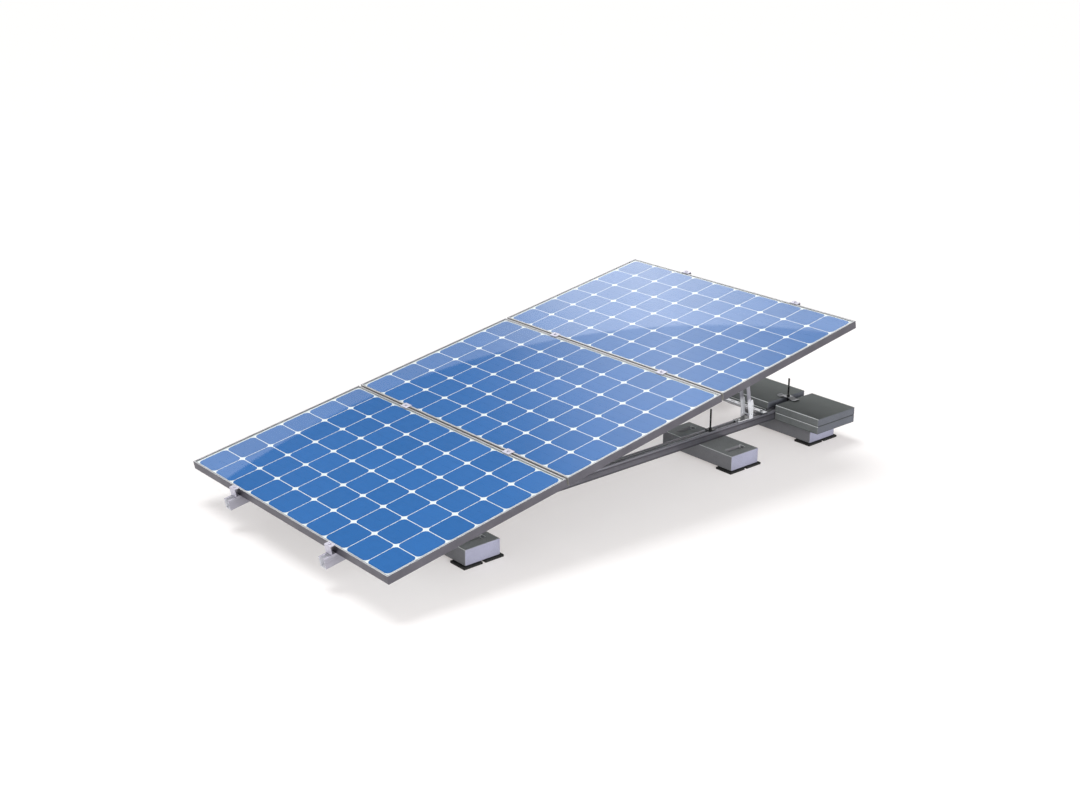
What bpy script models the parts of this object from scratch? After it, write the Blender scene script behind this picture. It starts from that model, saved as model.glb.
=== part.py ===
"""Ballasted solar mount: three framed modules on two sloping rails, weighted down on a flat roof.

Metres, +Z up. X runs along the low edge, Y runs up the slope. The origin is on the ground,
below the middle of the part's box. Two parent empties carry everything: "slope" sits where the
low module edge meets the top of the sloping rails and is turned by the tilt, and "ground" is
level and lies below it on the roof.
"""
import math

import bmesh
import bpy
from mathutils import Matrix

# Fits
SEAT_GAP = 0.0003
HOLE_CLEARANCE = 0.0005
MERGE_DISTANCE = 0.00001
BOLT_SIDES = 8
ROD_SIDES = 12
HEX_SIDES = 6

# Array
TILT = math.radians(10.0)
LOW_EDGE_HEIGHT = 0.1545
MODULE_NAMES = ("front", "middle", "rear")
MODULE_GAP = 0.012

# Module frame section
FRAME_HEIGHT = 0.040
FRAME_WALL = 0.002
LIP_WIDTH = 0.009
LIP_THICKNESS = 0.0015
SHELF_WIDTH = 0.009
SHELF_THICKNESS = 0.0015
FLANGE_WIDTH = 0.025
FLANGE_THICKNESS = 0.002

# Laminate
LAMINATE_MARGIN = 0.001
GLASS_THICKNESS = 0.0032
CELL_THICKNESS = 0.0004
BACKSHEET_THICKNESS = 0.0005
CELL_COLUMNS = 10
CELL_ROWS = 6
CELL_SIZE = 0.156
CELL_CORNER_CUT = 0.0075
CELL_GAP_X = 0.00535
CELL_GAP_Y = 0.0047
CELL_MARGIN_X = 0.020925
CELL_MARGIN_Y = 0.01525
RIBBON_WIDTH = 0.004
BUS_REACH = 0.008

# Junction box
JUNCTION_LENGTH = 0.120
JUNCTION_WIDTH = 0.095
JUNCTION_HEIGHT = 0.022
JUNCTION_FROM_EDGE = 0.110
JUNCTION_EDGE = 0.003

# Rail section, the same for sloping and base rails
RAIL_SPACING = 0.816
RAIL_WIDTH = 0.045
RAIL_HEIGHT = 0.050
RAIL_WALL = 0.0025
RAIL_SLOT = 0.022
RAIL_LIP_THICKNESS = 0.003
GROOVE_DEPTH = 0.0012
UPPER_GROOVE_DROP = 0.009
UPPER_GROOVE_WIDTH = 0.006
LOWER_GROOVE_DROP = 0.022
LOWER_GROOVE_WIDTH = 0.003
SLOPE_RAIL_OVERHANG = 0.064
BASE_RAIL_FRONT_OVERHANG = 0.080
BASE_RAIL_REAR_OVERHANG = 0.126

# Bolts and channel nuts
BOLT_RADIUS = 0.004
BOLT_HEAD_RADIUS = 0.0068
BOLT_HEAD_HEIGHT = 0.006
CHANNEL_NUT_LENGTH = 0.034
CHANNEL_NUT_WIDTH = 0.020
CHANNEL_NUT_HEIGHT = 0.006
BOLT_END = 0.004

# Module clamps
CLAMP_THICKNESS = 0.003
END_CLAMP_LENGTH = 0.048
END_CLAMP_REACH = 0.024
END_CLAMP_GRIP = 0.005
END_CLAMP_FOOT = 0.020
END_CLAMP_BOLT = 0.0095
MID_CLAMP_LENGTH = 0.050
MID_CLAMP_WIDTH = 0.038

# Ballast blocks and their pads
BLOCK_LENGTH = 0.500
BLOCK_WIDTH = 0.200
BLOCK_HEIGHT = 0.081
BLOCK_EDGE = 0.005
POCKET_OFFSET = 0.178
POCKET_LENGTH = 0.038
POCKET_WIDTH = 0.118
POCKET_DEPTH = 0.015
PAD_SIZE = 0.105
PAD_HEIGHT = 0.012
PAD_RECESS = 0.001
PAD_OVERHANG = 0.010
PAD_SPREAD = 0.226
FRONT_BLOCK_PLACE = 0.622
MIDDLE_BLOCK_BEFORE_FOOT = 0.278
REAR_BLOCK_BEHIND_FOOT = 0.329

# Paving slabs on the rear blocks
SLAB_SIZE = 0.300
SLAB_THICKNESS = 0.042
SLAB_EDGE = 0.003
SLAB_RAIL_CLEARANCE = 0.0035
SLAB_BEHIND_BLOCK = 0.017
SLAB_LAYERS = ("lower", "upper")

# Threaded rods
ROD_RADIUS = 0.005
ROD_GROUND_CLEARANCE = 0.0015
FRONT_ROD_ABOVE_RAIL = 0.042
MIDDLE_ROD_ABOVE_RAIL = 0.115
REAR_ROD_ABOVE_SLABS = 0.115
NUT_RADIUS = 0.0095
NUT_HEIGHT = 0.008
SQUARE_WASHER_SIZE = 0.040
SQUARE_WASHER_HEIGHT = 0.004
LOWER_WASHER_HEIGHT = 0.0015
LOWER_WASHER_RADIUS = 0.011
LOWER_NUT_HEIGHT = 0.006

# Pressed hold-down plates over the gap between the slab stacks
WING_SPAN = 0.132
WING_DEPTH = 0.042
WING_THICKNESS = 0.003
WING_CENTRE = 0.034
WING_TOUCH = 0.092
WING_RISE = 0.009
WING_TIP_RISE = 0.006

# Rear legs and their brackets
LEG_BEFORE_HIGH_EDGE = 0.422
LEG_SPACING = 0.052
LEG_WIDTH = 0.025
LEG_THICKNESS = 0.004
FOOT_BOLT_RISE = 0.0235
HEAD_BOLT_DROP = 0.026
BRACKET_THICKNESS = 0.004
FOOT_EAR_HEIGHT = 0.110
FOOT_EAR_WIDTH = 0.028
FOOT_EAR_TAPER = 0.013
FOOT_PLATE_REACH = 0.085
FOOT_PLATE_BOLT = 0.062
HEAD_EAR_BELOW_BOLT = 0.022
HEAD_EAR_TAPER = 0.012
PIVOT_HEAD_HEIGHT = 0.005

# Front brackets, where the base rails carry the sloping rails
FRONT_BRACKET_PLACE = 0.325
FRONT_EAR_ABOVE_BOLT = 0.0125
FRONT_EAR_WIDTH = 0.040

# Slotted cross brace
BRACE_BEHIND_FOOT = 0.115
BRACE_OVERHANG = 0.034
BRACE_WIDTH = 0.033
BRACE_HEIGHT = 0.012
BRACE_WALL = 0.0025
SLOT_LENGTH = 0.028
SLOT_WIDTH = 0.009
SLOT_PITCH = 0.050
SLOT_FROM_BOLT = 0.045

# Sizes and places worked out from the ones above
MODULE_LENGTH = CELL_COLUMNS * (CELL_SIZE + CELL_GAP_X) - CELL_GAP_X + 2 * CELL_MARGIN_X
MODULE_WIDTH = CELL_ROWS * (CELL_SIZE + CELL_GAP_Y) - CELL_GAP_Y + 2 * CELL_MARGIN_Y
MODULE_PITCH = MODULE_WIDTH + MODULE_GAP
ARRAY_DEPTH = len(MODULE_NAMES) * MODULE_PITCH - MODULE_GAP
LEG_PLACE = ARRAY_DEPTH - LEG_BEFORE_HIGH_EDGE
BLOCK_BOTTOM = PAD_HEIGHT - PAD_RECESS
BLOCK_TOP = BLOCK_BOTTOM + BLOCK_HEIGHT
BASE_RAIL_BOTTOM = BLOCK_TOP + SEAT_GAP
BASE_RAIL_TOP = BASE_RAIL_BOTTOM + RAIL_HEIGHT
SLAB_GAP = RAIL_WIDTH + 2 * SLAB_RAIL_CLEARANCE
SLAB_LEVEL = SLAB_THICKNESS + SEAT_GAP
SLABS_TOP = BLOCK_TOP + len(SLAB_LAYERS) * SLAB_LEVEL
LIP_UNDERSIDE = FRAME_HEIGHT - LIP_THICKNESS
GLASS_TOP = LIP_UNDERSIDE - SEAT_GAP
CELLS_TOP = GLASS_TOP - GLASS_THICKNESS - SEAT_GAP
BACKSHEET_TOP = CELLS_TOP - CELL_THICKNESS - SEAT_GAP
SHELF_TOP = BACKSHEET_TOP - BACKSHEET_THICKNESS - SEAT_GAP
EAR_INSIDE = LEG_SPACING / 2 + LEG_THICKNESS / 2 + SEAT_GAP
SIDES = {"left": -RAIL_SPACING / 2, "right": RAIL_SPACING / 2}


def slope_to_level(along, above):
    """The level distance and the height of a point given along the slope and above the rails."""
    level = along * math.cos(TILT) - above * math.sin(TILT)
    height = LOW_EDGE_HEIGHT + along * math.sin(TILT) + above * math.cos(TILT)
    return level, height


def leg_foot_above():
    """How far below the rail tops the foot bolt of a leg lies, along the leg."""
    bolt_height = BASE_RAIL_TOP + FOOT_BOLT_RISE
    return (bolt_height - LOW_EDGE_HEIGHT - LEG_PLACE * math.sin(TILT)) / math.cos(TILT)


# Level places along the base rails, from the start of the slope
FOOT_PLACE = slope_to_level(LEG_PLACE, leg_foot_above())[0]
BLOCK_PLACES = {
    "front": FRONT_BLOCK_PLACE,
    "middle": FOOT_PLACE - MIDDLE_BLOCK_BEFORE_FOOT,
    "rear": FOOT_PLACE + REAR_BLOCK_BEHIND_FOOT,
}
ROD_TOPS = {
    "front": BASE_RAIL_TOP + FRONT_ROD_ABOVE_RAIL,
    "middle": BASE_RAIL_TOP + MIDDLE_ROD_ABOVE_RAIL,
    "rear": SLABS_TOP + REAR_ROD_ABOVE_SLABS,
}
SLAB_PLACE = BLOCK_PLACES["rear"] + SLAB_BEHIND_BLOCK
BRACE_PLACE = FOOT_PLACE + BRACE_BEHIND_FOOT
BASE_RAIL_START = FRONT_BRACKET_PLACE - BASE_RAIL_FRONT_OVERHANG
BASE_RAIL_END = BLOCK_PLACES["rear"] + BASE_RAIL_REAR_OVERHANG
BASE_RAIL_LENGTH = BASE_RAIL_END - BASE_RAIL_START
BRACE_LENGTH = RAIL_SPACING + 2 * BRACE_OVERHANG
SLOT_COUNT = int((RAIL_SPACING - 2 * SLOT_FROM_BOLT) / SLOT_PITCH) + 1


def start_of_slope():
    """The Y of the slope's start that centres the part's box on the origin."""
    front = slope_to_level(-SLOPE_RAIL_OVERHANG, 0.0)[0]
    slope_end = slope_to_level(ARRAY_DEPTH + SLOPE_RAIL_OVERHANG, -RAIL_HEIGHT)[0]
    rear = max(SLAB_PLACE + SLAB_SIZE / 2, BASE_RAIL_END, slope_end)
    return -(front + rear) / 2


def clear_scene():
    for obj in list(bpy.data.objects):
        bpy.data.objects.remove(obj)


def new_collection(name):
    collection = bpy.data.collections.new(name)
    bpy.context.scene.collection.children.link(collection)
    return collection


def new_empty(name, place, turn):
    empty = bpy.data.objects.new(name, None)
    empty.location = place
    empty.rotation_euler = turn
    PARTS.objects.link(empty)
    return empty


def new_finish(name, colour, roughness, metallic):
    finish = bpy.data.materials.new(name)
    finish.use_nodes = True
    shader = finish.node_tree.nodes["Principled BSDF"]
    shader.inputs["Base Color"].default_value = (*colour, 1.0)
    shader.inputs["Roughness"].default_value = roughness
    shader.inputs["Metallic"].default_value = metallic
    finish.diffuse_color = (*colour, 1.0)
    return finish


def mesh_from(name, bm):
    mesh = bpy.data.meshes.new(name)
    bm.to_mesh(mesh)
    bm.free()
    return mesh


def boxes_mesh(name, boxes):
    """Separate boxes in one mesh, each given by its size and its centre."""
    bm = bmesh.new()
    for size, centre in boxes:
        corners = bmesh.ops.create_cube(bm, size=1.0)["verts"]
        bmesh.ops.scale(bm, vec=size, verts=corners)
        bmesh.ops.translate(bm, vec=centre, verts=corners)
    return mesh_from(name, bm)


def cylinder_mesh(name, radius, length, sides=BOLT_SIDES):
    bm = bmesh.new()
    bmesh.ops.create_cone(
        bm, cap_ends=True, segments=sides, radius1=radius, radius2=radius, depth=length
    )
    mesh = mesh_from(name, bm)
    mesh.shade_smooth()
    mesh.set_sharp_from_angle(angle=math.radians(40.0))
    return mesh


def add_piece(name, data, parent, place=(0.0, 0.0, 0.0), turn=(0.0, 0.0, 0.0), finish=None):
    piece = bpy.data.objects.new(name, data)
    piece.parent = parent
    piece.location = place
    piece.rotation_euler = turn
    if finish:
        data.materials.clear()
        data.materials.append(finish)
    PARTS.objects.link(piece)
    return piece


def add_tool(name, data, parent, place=(0.0, 0.0, 0.0), turn=(0.0, 0.0, 0.0)):
    """A hidden shape that is cut from a piece or joined to it."""
    tool = bpy.data.objects.new(name, data)
    tool.parent = parent
    tool.location = place
    tool.rotation_euler = turn
    tool.hide_render = True
    tool.display_type = "WIRE"
    TOOLS.objects.link(tool)
    return tool


def combine(piece, tool, operation):
    change = piece.modifiers.new(tool.name, "BOOLEAN")
    change.operation = operation
    change.solver = "EXACT"
    change.object = tool


def soften(piece, width):
    bevel = piece.modifiers.new("edges", "BEVEL")
    bevel.width = width
    bevel.segments = 1
    bevel.limit_method = "ANGLE"


def outline_mesh(name, loops, thickness):
    """A flat outline in XY, with any holes as further loops, thickened evenly along Z."""
    curve = bpy.data.curves.new(name, "CURVE")
    curve.dimensions = "2D"
    curve.fill_mode = "BOTH"
    curve.extrude = thickness / 2
    for points in loops:
        spline = curve.splines.new("POLY")
        spline.points.add(len(points) - 1)
        spline.use_cyclic_u = True
        for point, (x, y) in zip(spline.points, points):
            point.co = (x, y, 0.0, 1.0)
    holder = bpy.data.objects.new(name, curve)
    TOOLS.objects.link(holder)
    bpy.context.view_layer.update()
    evaluated = holder.evaluated_get(bpy.context.evaluated_depsgraph_get())
    mesh = bpy.data.meshes.new_from_object(evaluated)
    bpy.data.objects.remove(holder)
    bm = bmesh.new()
    bm.from_mesh(mesh)
    bmesh.ops.remove_doubles(bm, verts=bm.verts, dist=MERGE_DISTANCE)
    bm.to_mesh(mesh)
    bm.free()
    return mesh


def arc(centre, radius, start, end, steps):
    """Points on an arc, angles in degrees."""
    points = []
    for step in range(steps + 1):
        angle = math.radians(start + (end - start) * step / steps)
        x = centre[0] + radius * math.cos(angle)
        y = centre[1] + radius * math.sin(angle)
        points.append((x, y))
    return points


def strip_outline(path, thickness):
    """The outline of a folded sheet whose middle follows the path, with mitred folds."""
    left, right = [], []
    for index, point in enumerate(path):
        before = path[max(index - 1, 0)]
        after = path[min(index + 1, len(path) - 1)]
        first = unit(before, point) if index > 0 else unit(point, after)
        second = unit(point, after) if index < len(path) - 1 else first
        middle = unit((0.0, 0.0), (first[0] + second[0], first[1] + second[1]))
        stretch = thickness / 2 / (middle[0] * first[0] + middle[1] * first[1])
        left.append((point[0] - middle[1] * stretch, point[1] + middle[0] * stretch))
        right.append((point[0] + middle[1] * stretch, point[1] - middle[0] * stretch))
    return left + right[::-1]


def unit(start, end):
    run = (end[0] - start[0], end[1] - start[1])
    length = math.hypot(*run)
    return run[0] / length, run[1] / length


def frame_section():
    """Module frame section: distance in from the outer face, and height."""
    return (
        (0.0, 0.0),
        (0.0, FRAME_HEIGHT),
        (LIP_WIDTH, FRAME_HEIGHT),
        (LIP_WIDTH, LIP_UNDERSIDE),
        (FRAME_WALL, LIP_UNDERSIDE),
        (FRAME_WALL, SHELF_TOP),
        (SHELF_WIDTH, SHELF_TOP),
        (SHELF_WIDTH, SHELF_TOP - SHELF_THICKNESS),
        (FRAME_WALL, SHELF_TOP - SHELF_THICKNESS),
        (FRAME_WALL, FLANGE_THICKNESS),
        (FLANGE_WIDTH, FLANGE_THICKNESS),
        (FLANGE_WIDTH, 0.0),
    )


def frame_quarter_mesh():
    """A quarter of the mitred frame, lofted from the middle of one side round to the next."""
    half_length, half_width = MODULE_LENGTH / 2, MODULE_WIDTH / 2
    section = frame_section()
    stations = (
        [(0.0, half_width - inset, z) for inset, z in section],
        [(half_length - inset, half_width - inset, z) for inset, z in section],
        [(half_length - inset, 0.0, z) for inset, z in section],
    )
    bm = bmesh.new()
    rings = [[bm.verts.new(place) for place in station] for station in stations]
    for before, after in zip(rings, rings[1:]):
        for i in range(len(section)):
            j = (i + 1) % len(section)
            bm.faces.new((before[i], before[j], after[j], after[i]))
    return mesh_from("module_frame", bm)


def add_module_frame(name, place):
    frame = add_piece("module_frame_" + name, frame_quarter_mesh(), SLOPE, place, finish=ALUMINIUM)
    mirror = frame.modifiers.new("quarters", "MIRROR")
    mirror.use_axis = (True, True, False)
    mirror.merge_threshold = MERGE_DISTANCE
    return frame


def laminate_size(thickness):
    edge = FRAME_WALL + LAMINATE_MARGIN
    return MODULE_LENGTH - 2 * edge, MODULE_WIDTH - 2 * edge, thickness


def add_layer(name, place, top, thickness, finish):
    """A plain sheet of the laminate, its top at a height above the frame's underside."""
    mesh = boxes_mesh(name, [(laminate_size(thickness), (0.0, 0.0, top - thickness / 2))])
    return add_piece(name, mesh, SLOPE, place, finish=finish)


def cell_grid(count, gap):
    """The low edges of a row of cells centred on zero."""
    pitch = CELL_SIZE + gap
    start = -(count * pitch - gap) / 2
    return [start + index * pitch for index in range(count)]


def cells_mesh():
    """All wafers of a module in series, joined by ribbons along X and end buses along Y."""
    columns = cell_grid(CELL_COLUMNS, CELL_GAP_X)
    rows = cell_grid(CELL_ROWS, CELL_GAP_Y)
    half, cut = CELL_SIZE / 2, CELL_CORNER_CUT
    bm = bmesh.new()

    def face(points):
        bm.faces.new([bm.verts.new((x, y, 0.0)) for x, y in points])

    for row, y0 in enumerate(rows):
        low, high, y1 = y0 + half - RIBBON_WIDTH / 2, y0 + half + RIBBON_WIDTH / 2, y0 + CELL_SIZE
        for x0 in columns:
            x1 = x0 + CELL_SIZE
            face([(x0 + cut, y0), (x1 - cut, y0), (x1, y0 + cut), (x1, low), (x0, low), (x0, y0 + cut)])
            face([(x0, low), (x1, low), (x1, high), (x0, high)])
            face([(x0, high), (x1, high), (x1, y1 - cut), (x1 - cut, y1), (x0 + cut, y1), (x0, y1 - cut)])
        for x0 in columns[1:]:
            face([(x0 - CELL_GAP_X, low), (x0, low), (x0, high), (x0 - CELL_GAP_X, high)])
        if row < len(rows) - 1:
            side = 1 if row % 2 else -1
            add_bus(face, side, -side * columns[0], low, high, rows[row + 1] - y0)
    bmesh.ops.remove_doubles(bm, verts=bm.verts, dist=MERGE_DISTANCE)
    bmesh.ops.recalc_face_normals(bm, faces=bm.faces)
    if bm.faces[0].normal.z < 0:
        bmesh.ops.reverse_faces(bm, faces=bm.faces)
    return mesh_from("cells", bm)


def add_bus(face, side, edge, low, high, step):
    """A bus ribbon at one end of two rows: a stub from each row's middle and a bar between."""
    inner, outer = edge + side * (BUS_REACH - RIBBON_WIDTH), edge + side * BUS_REACH
    for shift in (0.0, step):
        face([(edge, low + shift), (inner, low + shift), (inner, high + shift), (edge, high + shift)])
        face([(inner, low + shift), (outer, low + shift), (outer, high + shift), (inner, high + shift)])
    face([(inner, high), (outer, high), (outer, low + step), (inner, low + step)])


def add_cells(name, place):
    x, y, z = place
    cells = add_piece("cells_" + name, cells_mesh(), SLOPE, (x, y, z + CELLS_TOP), finish=SILICON)
    thickness = cells.modifiers.new("thickness", "SOLIDIFY")
    thickness.thickness = CELL_THICKNESS
    thickness.offset = -1.0
    return cells


def add_junction_box(name, place):
    x, y, z = place
    size = (JUNCTION_LENGTH, JUNCTION_WIDTH, JUNCTION_HEIGHT)
    top = BACKSHEET_TOP - BACKSHEET_THICKNESS - SEAT_GAP
    centre = (x, y + MODULE_WIDTH / 2 - JUNCTION_FROM_EDGE, z + top - JUNCTION_HEIGHT / 2)
    box = add_piece(
        "junction_box_" + name, boxes_mesh("junction_box", [(size, (0.0, 0.0, 0.0))]),
        SLOPE, centre, finish=BLACK_PLASTIC,
    )
    soften(box, JUNCTION_EDGE)
    return box


def add_modules():
    for index, name in enumerate(MODULE_NAMES):
        place = (0.0, index * MODULE_PITCH + MODULE_WIDTH / 2, SEAT_GAP)
        add_module_frame(name, place)
        add_layer("glass_" + name, place, GLASS_TOP, GLASS_THICKNESS, GLASS)
        add_cells(name, place)
        add_layer("backsheet_" + name, place, BACKSHEET_TOP, BACKSHEET_THICKNESS, WHITE_SHEET)
        add_junction_box(name, place)


def rail_section():
    """Open channel with lips turned in and two grooves along each side, top at zero."""
    half, slot, wall = RAIL_WIDTH / 2, RAIL_SLOT / 2, RAIL_WALL
    side = [(half, 0.0)]
    for drop, width in ((UPPER_GROOVE_DROP, UPPER_GROOVE_WIDTH), (LOWER_GROOVE_DROP, LOWER_GROOVE_WIDTH)):
        side += [(half, -drop), (half - GROOVE_DEPTH, -drop)]
        side += [(half - GROOVE_DEPTH, -drop - width), (half, -drop - width)]
    side += [(half, -RAIL_HEIGHT)]
    inside = [
        (half - wall, wall - RAIL_HEIGHT),
        (half - wall, -RAIL_LIP_THICKNESS),
        (slot, -RAIL_LIP_THICKNESS),
        (slot, 0.0),
    ]
    right = inside + side
    left = [(-x, y) for x, y in reversed(right)]
    return right + left


def rail_mesh(name, length):
    return outline_mesh(name, [rail_section()], length)


def drill(piece, name, radius, depth, place, turn=(0.0, 0.0, 0.0), sides=BOLT_SIDES):
    """A round hole through a piece, the cutter riding on the piece itself."""
    cutter = add_tool(name, cylinder_mesh(name, radius, depth, sides), piece, place, turn)
    combine(piece, cutter, "DIFFERENCE")


def along_rail(x, distance, drop):
    """A point in a rail's own axes: its section lies in XY and its length runs along -Z."""
    return x, -drop, -distance


def add_slope_rails():
    length = ARRAY_DEPTH + 2 * SLOPE_RAIL_OVERHANG
    for side, x in SIDES.items():
        place = (x, ARRAY_DEPTH / 2, 0.0)
        rail = add_piece(
            "slope_rail_" + side, rail_mesh("slope_rail", length), SLOPE, place, ACROSS,
            finish=RAIL_GREY,
        )
        leg = along_rail(0.0, LEG_PLACE - ARRAY_DEPTH / 2, RAIL_HEIGHT)
        drill(rail, "head_bolt_hole_" + side, BOLT_RADIUS + HOLE_CLEARANCE, 4 * RAIL_WALL, leg, ACROSS)
        pivot = along_rail(0.0, front_pivot_along() - ARRAY_DEPTH / 2, RAIL_HEIGHT / 2)
        drill(
            rail, "front_pivot_hole_" + side, BOLT_RADIUS + HOLE_CLEARANCE, 2 * RAIL_WIDTH,
            pivot, SIDEWAYS,
        )


def front_pivot_along():
    """Where along the slope the front bracket's cross bolt goes through the sloping rail."""
    return (FRONT_BRACKET_PLACE - RAIL_HEIGHT / 2 * math.sin(TILT)) / math.cos(TILT)


def add_base_rails():
    for side, x in SIDES.items():
        place = (x, BASE_RAIL_START + BASE_RAIL_LENGTH / 2, BASE_RAIL_TOP)
        rail = add_piece(
            "base_rail_" + side, rail_mesh("base_rail", BASE_RAIL_LENGTH), GROUND, place, ACROSS,
            finish=RAIL_GREY,
        )
        for name, block_place in BLOCK_PLACES.items():
            hole = along_rail(0.0, block_place - BASE_RAIL_START - BASE_RAIL_LENGTH / 2, RAIL_HEIGHT)
            tool = "rod_hole_%s_%s" % (name, side)
            radius = ROD_RADIUS + HOLE_CLEARANCE
            drill(rail, tool, radius, 4 * RAIL_WALL, hole, ACROSS, ROD_SIDES)


def join_box(piece, name, size, centre):
    combine(piece, add_tool(name, boxes_mesh(name, [(size, centre)]), piece), "UNION")


def join_cylinder(piece, name, radius, low, high, place, sides=BOLT_SIDES):
    """Join an upright cylinder between two heights of the piece's own axes."""
    centre = (place[0], place[1], (low + high) / 2)
    tool = add_tool(name, cylinder_mesh(name, radius, high - low, sides), piece, centre)
    combine(piece, tool, "UNION")


def join_channel_bolt(piece, x, y, head_base, lip_top, name):
    """A bolt whose shaft drops through a rail's slot into a nut that bears under the lips."""
    nut_top = lip_top - RAIL_LIP_THICKNESS - SEAT_GAP
    nut_bottom = nut_top - CHANNEL_NUT_HEIGHT
    join_cylinder(piece, name + "_shaft", BOLT_RADIUS, nut_bottom - BOLT_END, head_base, (x, y))
    join_cylinder(
        piece, name + "_head", BOLT_HEAD_RADIUS, head_base - BOLT_RADIUS / 4,
        head_base + BOLT_HEAD_HEIGHT, (x, y),
    )
    size = (CHANNEL_NUT_LENGTH, CHANNEL_NUT_WIDTH, CHANNEL_NUT_HEIGHT)
    join_box(piece, name + "_nut", size, (x, y, (nut_top + nut_bottom) / 2))


def end_clamp_mesh():
    """Folded strip seen from its end: foot on the rail, web, and lip over the frame."""
    half = CLAMP_THICKNESS / 2
    outer = -END_CLAMP_REACH + half
    top = SEAT_GAP + FRAME_HEIGHT + SEAT_GAP + half
    path = [
        (outer + END_CLAMP_FOOT, SEAT_GAP + half),
        (outer, SEAT_GAP + half),
        (outer, top),
        (END_CLAMP_GRIP, top),
    ]
    return outline_mesh("end_clamp", [strip_outline(path, CLAMP_THICKNESS)], END_CLAMP_LENGTH)


def add_end_clamps():
    """The clamp's section lies in the plane across X, so it is turned twice into place."""
    head_base = SEAT_GAP + FRAME_HEIGHT + SEAT_GAP + CLAMP_THICKNESS
    for edge, y, facing in (("low", 0.0, 1), ("high", ARRAY_DEPTH, -1)):
        for side, x in SIDES.items():
            name = "end_clamp_%s_%s" % (edge, side)
            holder = new_empty(name + "_place", (x, y, 0.0), (0.0, 0.0, 0.0 if facing > 0 else math.pi))
            holder.parent = SLOPE
            clamp = add_piece(name, crosswise(end_clamp_mesh()), holder, finish=CLAMP_METAL)
            join_channel_bolt(clamp, 0.0, -END_CLAMP_BOLT, head_base, 0.0, name)


def crosswise(mesh):
    """Stand a section drawn in XY up in YZ, its thickness along X."""
    mesh.transform(Matrix.Rotation(math.pi / 2, 4, "Z") @ Matrix.Rotation(math.pi / 2, 4, "X"))
    return mesh


def lengthwise(mesh):
    """Stand a section drawn in XY up in XZ, its thickness along Y."""
    mesh.transform(Matrix.Rotation(math.pi / 2, 4, "X"))
    return mesh


def add_mid_clamps():
    bottom = SEAT_GAP + FRAME_HEIGHT + SEAT_GAP
    size = (MID_CLAMP_LENGTH, MID_CLAMP_WIDTH, CLAMP_THICKNESS)
    for seam in range(1, len(MODULE_NAMES)):
        y = seam * MODULE_PITCH - MODULE_GAP / 2
        for side, x in SIDES.items():
            name = "mid_clamp_%d_%s" % (seam, side)
            mesh = boxes_mesh("mid_clamp", [(size, (0.0, 0.0, bottom + CLAMP_THICKNESS / 2))])
            clamp = add_piece(name, mesh, SLOPE, (x, y, 0.0), finish=CLAMP_METAL)
            join_channel_bolt(clamp, 0.0, 0.0, bottom + CLAMP_THICKNESS, 0.0, name)


def pad_centres():
    """The four pads under a block, two at each end, standing out past its ends and sides."""
    x = BLOCK_LENGTH / 2 + PAD_OVERHANG - PAD_SIZE / 2
    y = PAD_SPREAD / 2 - PAD_SIZE / 2
    return [(sx * x, sy * y, PAD_HEIGHT / 2) for sx in (-1, 1) for sy in (-1, 1)]


def add_blocks():
    pads = boxes_mesh("pads", [((PAD_SIZE, PAD_SIZE, PAD_HEIGHT), c) for c in pad_centres()])
    block_size = (BLOCK_LENGTH, BLOCK_WIDTH, BLOCK_HEIGHT)
    pocket_size = (POCKET_LENGTH, POCKET_WIDTH, 2 * POCKET_DEPTH)
    pockets = boxes_mesh("pockets", [(pocket_size, (s * POCKET_OFFSET, 0.0, BLOCK_TOP)) for s in (-1, 1)])
    for name, y in BLOCK_PLACES.items():
        for side, x in SIDES.items():
            label = "%s_%s" % (name, side)
            mesh = boxes_mesh("block", [(block_size, (0.0, 0.0, (BLOCK_BOTTOM + BLOCK_TOP) / 2))])
            block = add_piece("ballast_block_" + label, mesh, GROUND, (x, y, 0.0), finish=BLOCK_GREY)
            soften(block, BLOCK_EDGE)
            combine(block, add_tool("pockets_" + label, pockets, block), "DIFFERENCE")
            drill(
                block, "block_hole_" + label, ROD_RADIUS + HOLE_CLEARANCE, 4 * BLOCK_HEIGHT,
                (0.0, 0.0, BLOCK_TOP / 2), sides=ROD_SIDES,
            )
            combine(block, add_tool("pads_" + label, pads, block), "UNION")


def add_slabs():
    size = (SLAB_SIZE, SLAB_SIZE, SLAB_THICKNESS)
    out = (SLAB_GAP + SLAB_SIZE) / 2
    for side, x in SIDES.items():
        for half, shift in (("inner", -out), ("outer", out)):
            if side == "left":
                shift = -shift
            for layer, label in enumerate(SLAB_LAYERS):
                z = BLOCK_TOP + layer * SLAB_LEVEL + SEAT_GAP + SLAB_THICKNESS / 2
                name = "slab_%s_%s_%s" % (label, side, half)
                mesh = boxes_mesh("slab", [(size, (0.0, 0.0, 0.0))])
                slab = add_piece(name, mesh, GROUND, (x + shift, SLAB_PLACE, z), finish=CONCRETE)
                soften(slab, SLAB_EDGE)


def rod_nuts(name):
    """The base height and the thickness of each nut on a rod: under the block, then above."""
    under_washer = BLOCK_BOTTOM - SEAT_GAP - LOWER_WASHER_HEIGHT
    nuts = [(under_washer - LOWER_NUT_HEIGHT, LOWER_NUT_HEIGHT)]
    nuts.append((BASE_RAIL_TOP + SEAT_GAP + SQUARE_WASHER_HEIGHT, NUT_HEIGHT))
    if name == "rear":
        nuts.append((SLABS_TOP + SEAT_GAP + WING_RISE + WING_THICKNESS + SEAT_GAP, NUT_HEIGHT))
    return nuts


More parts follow.
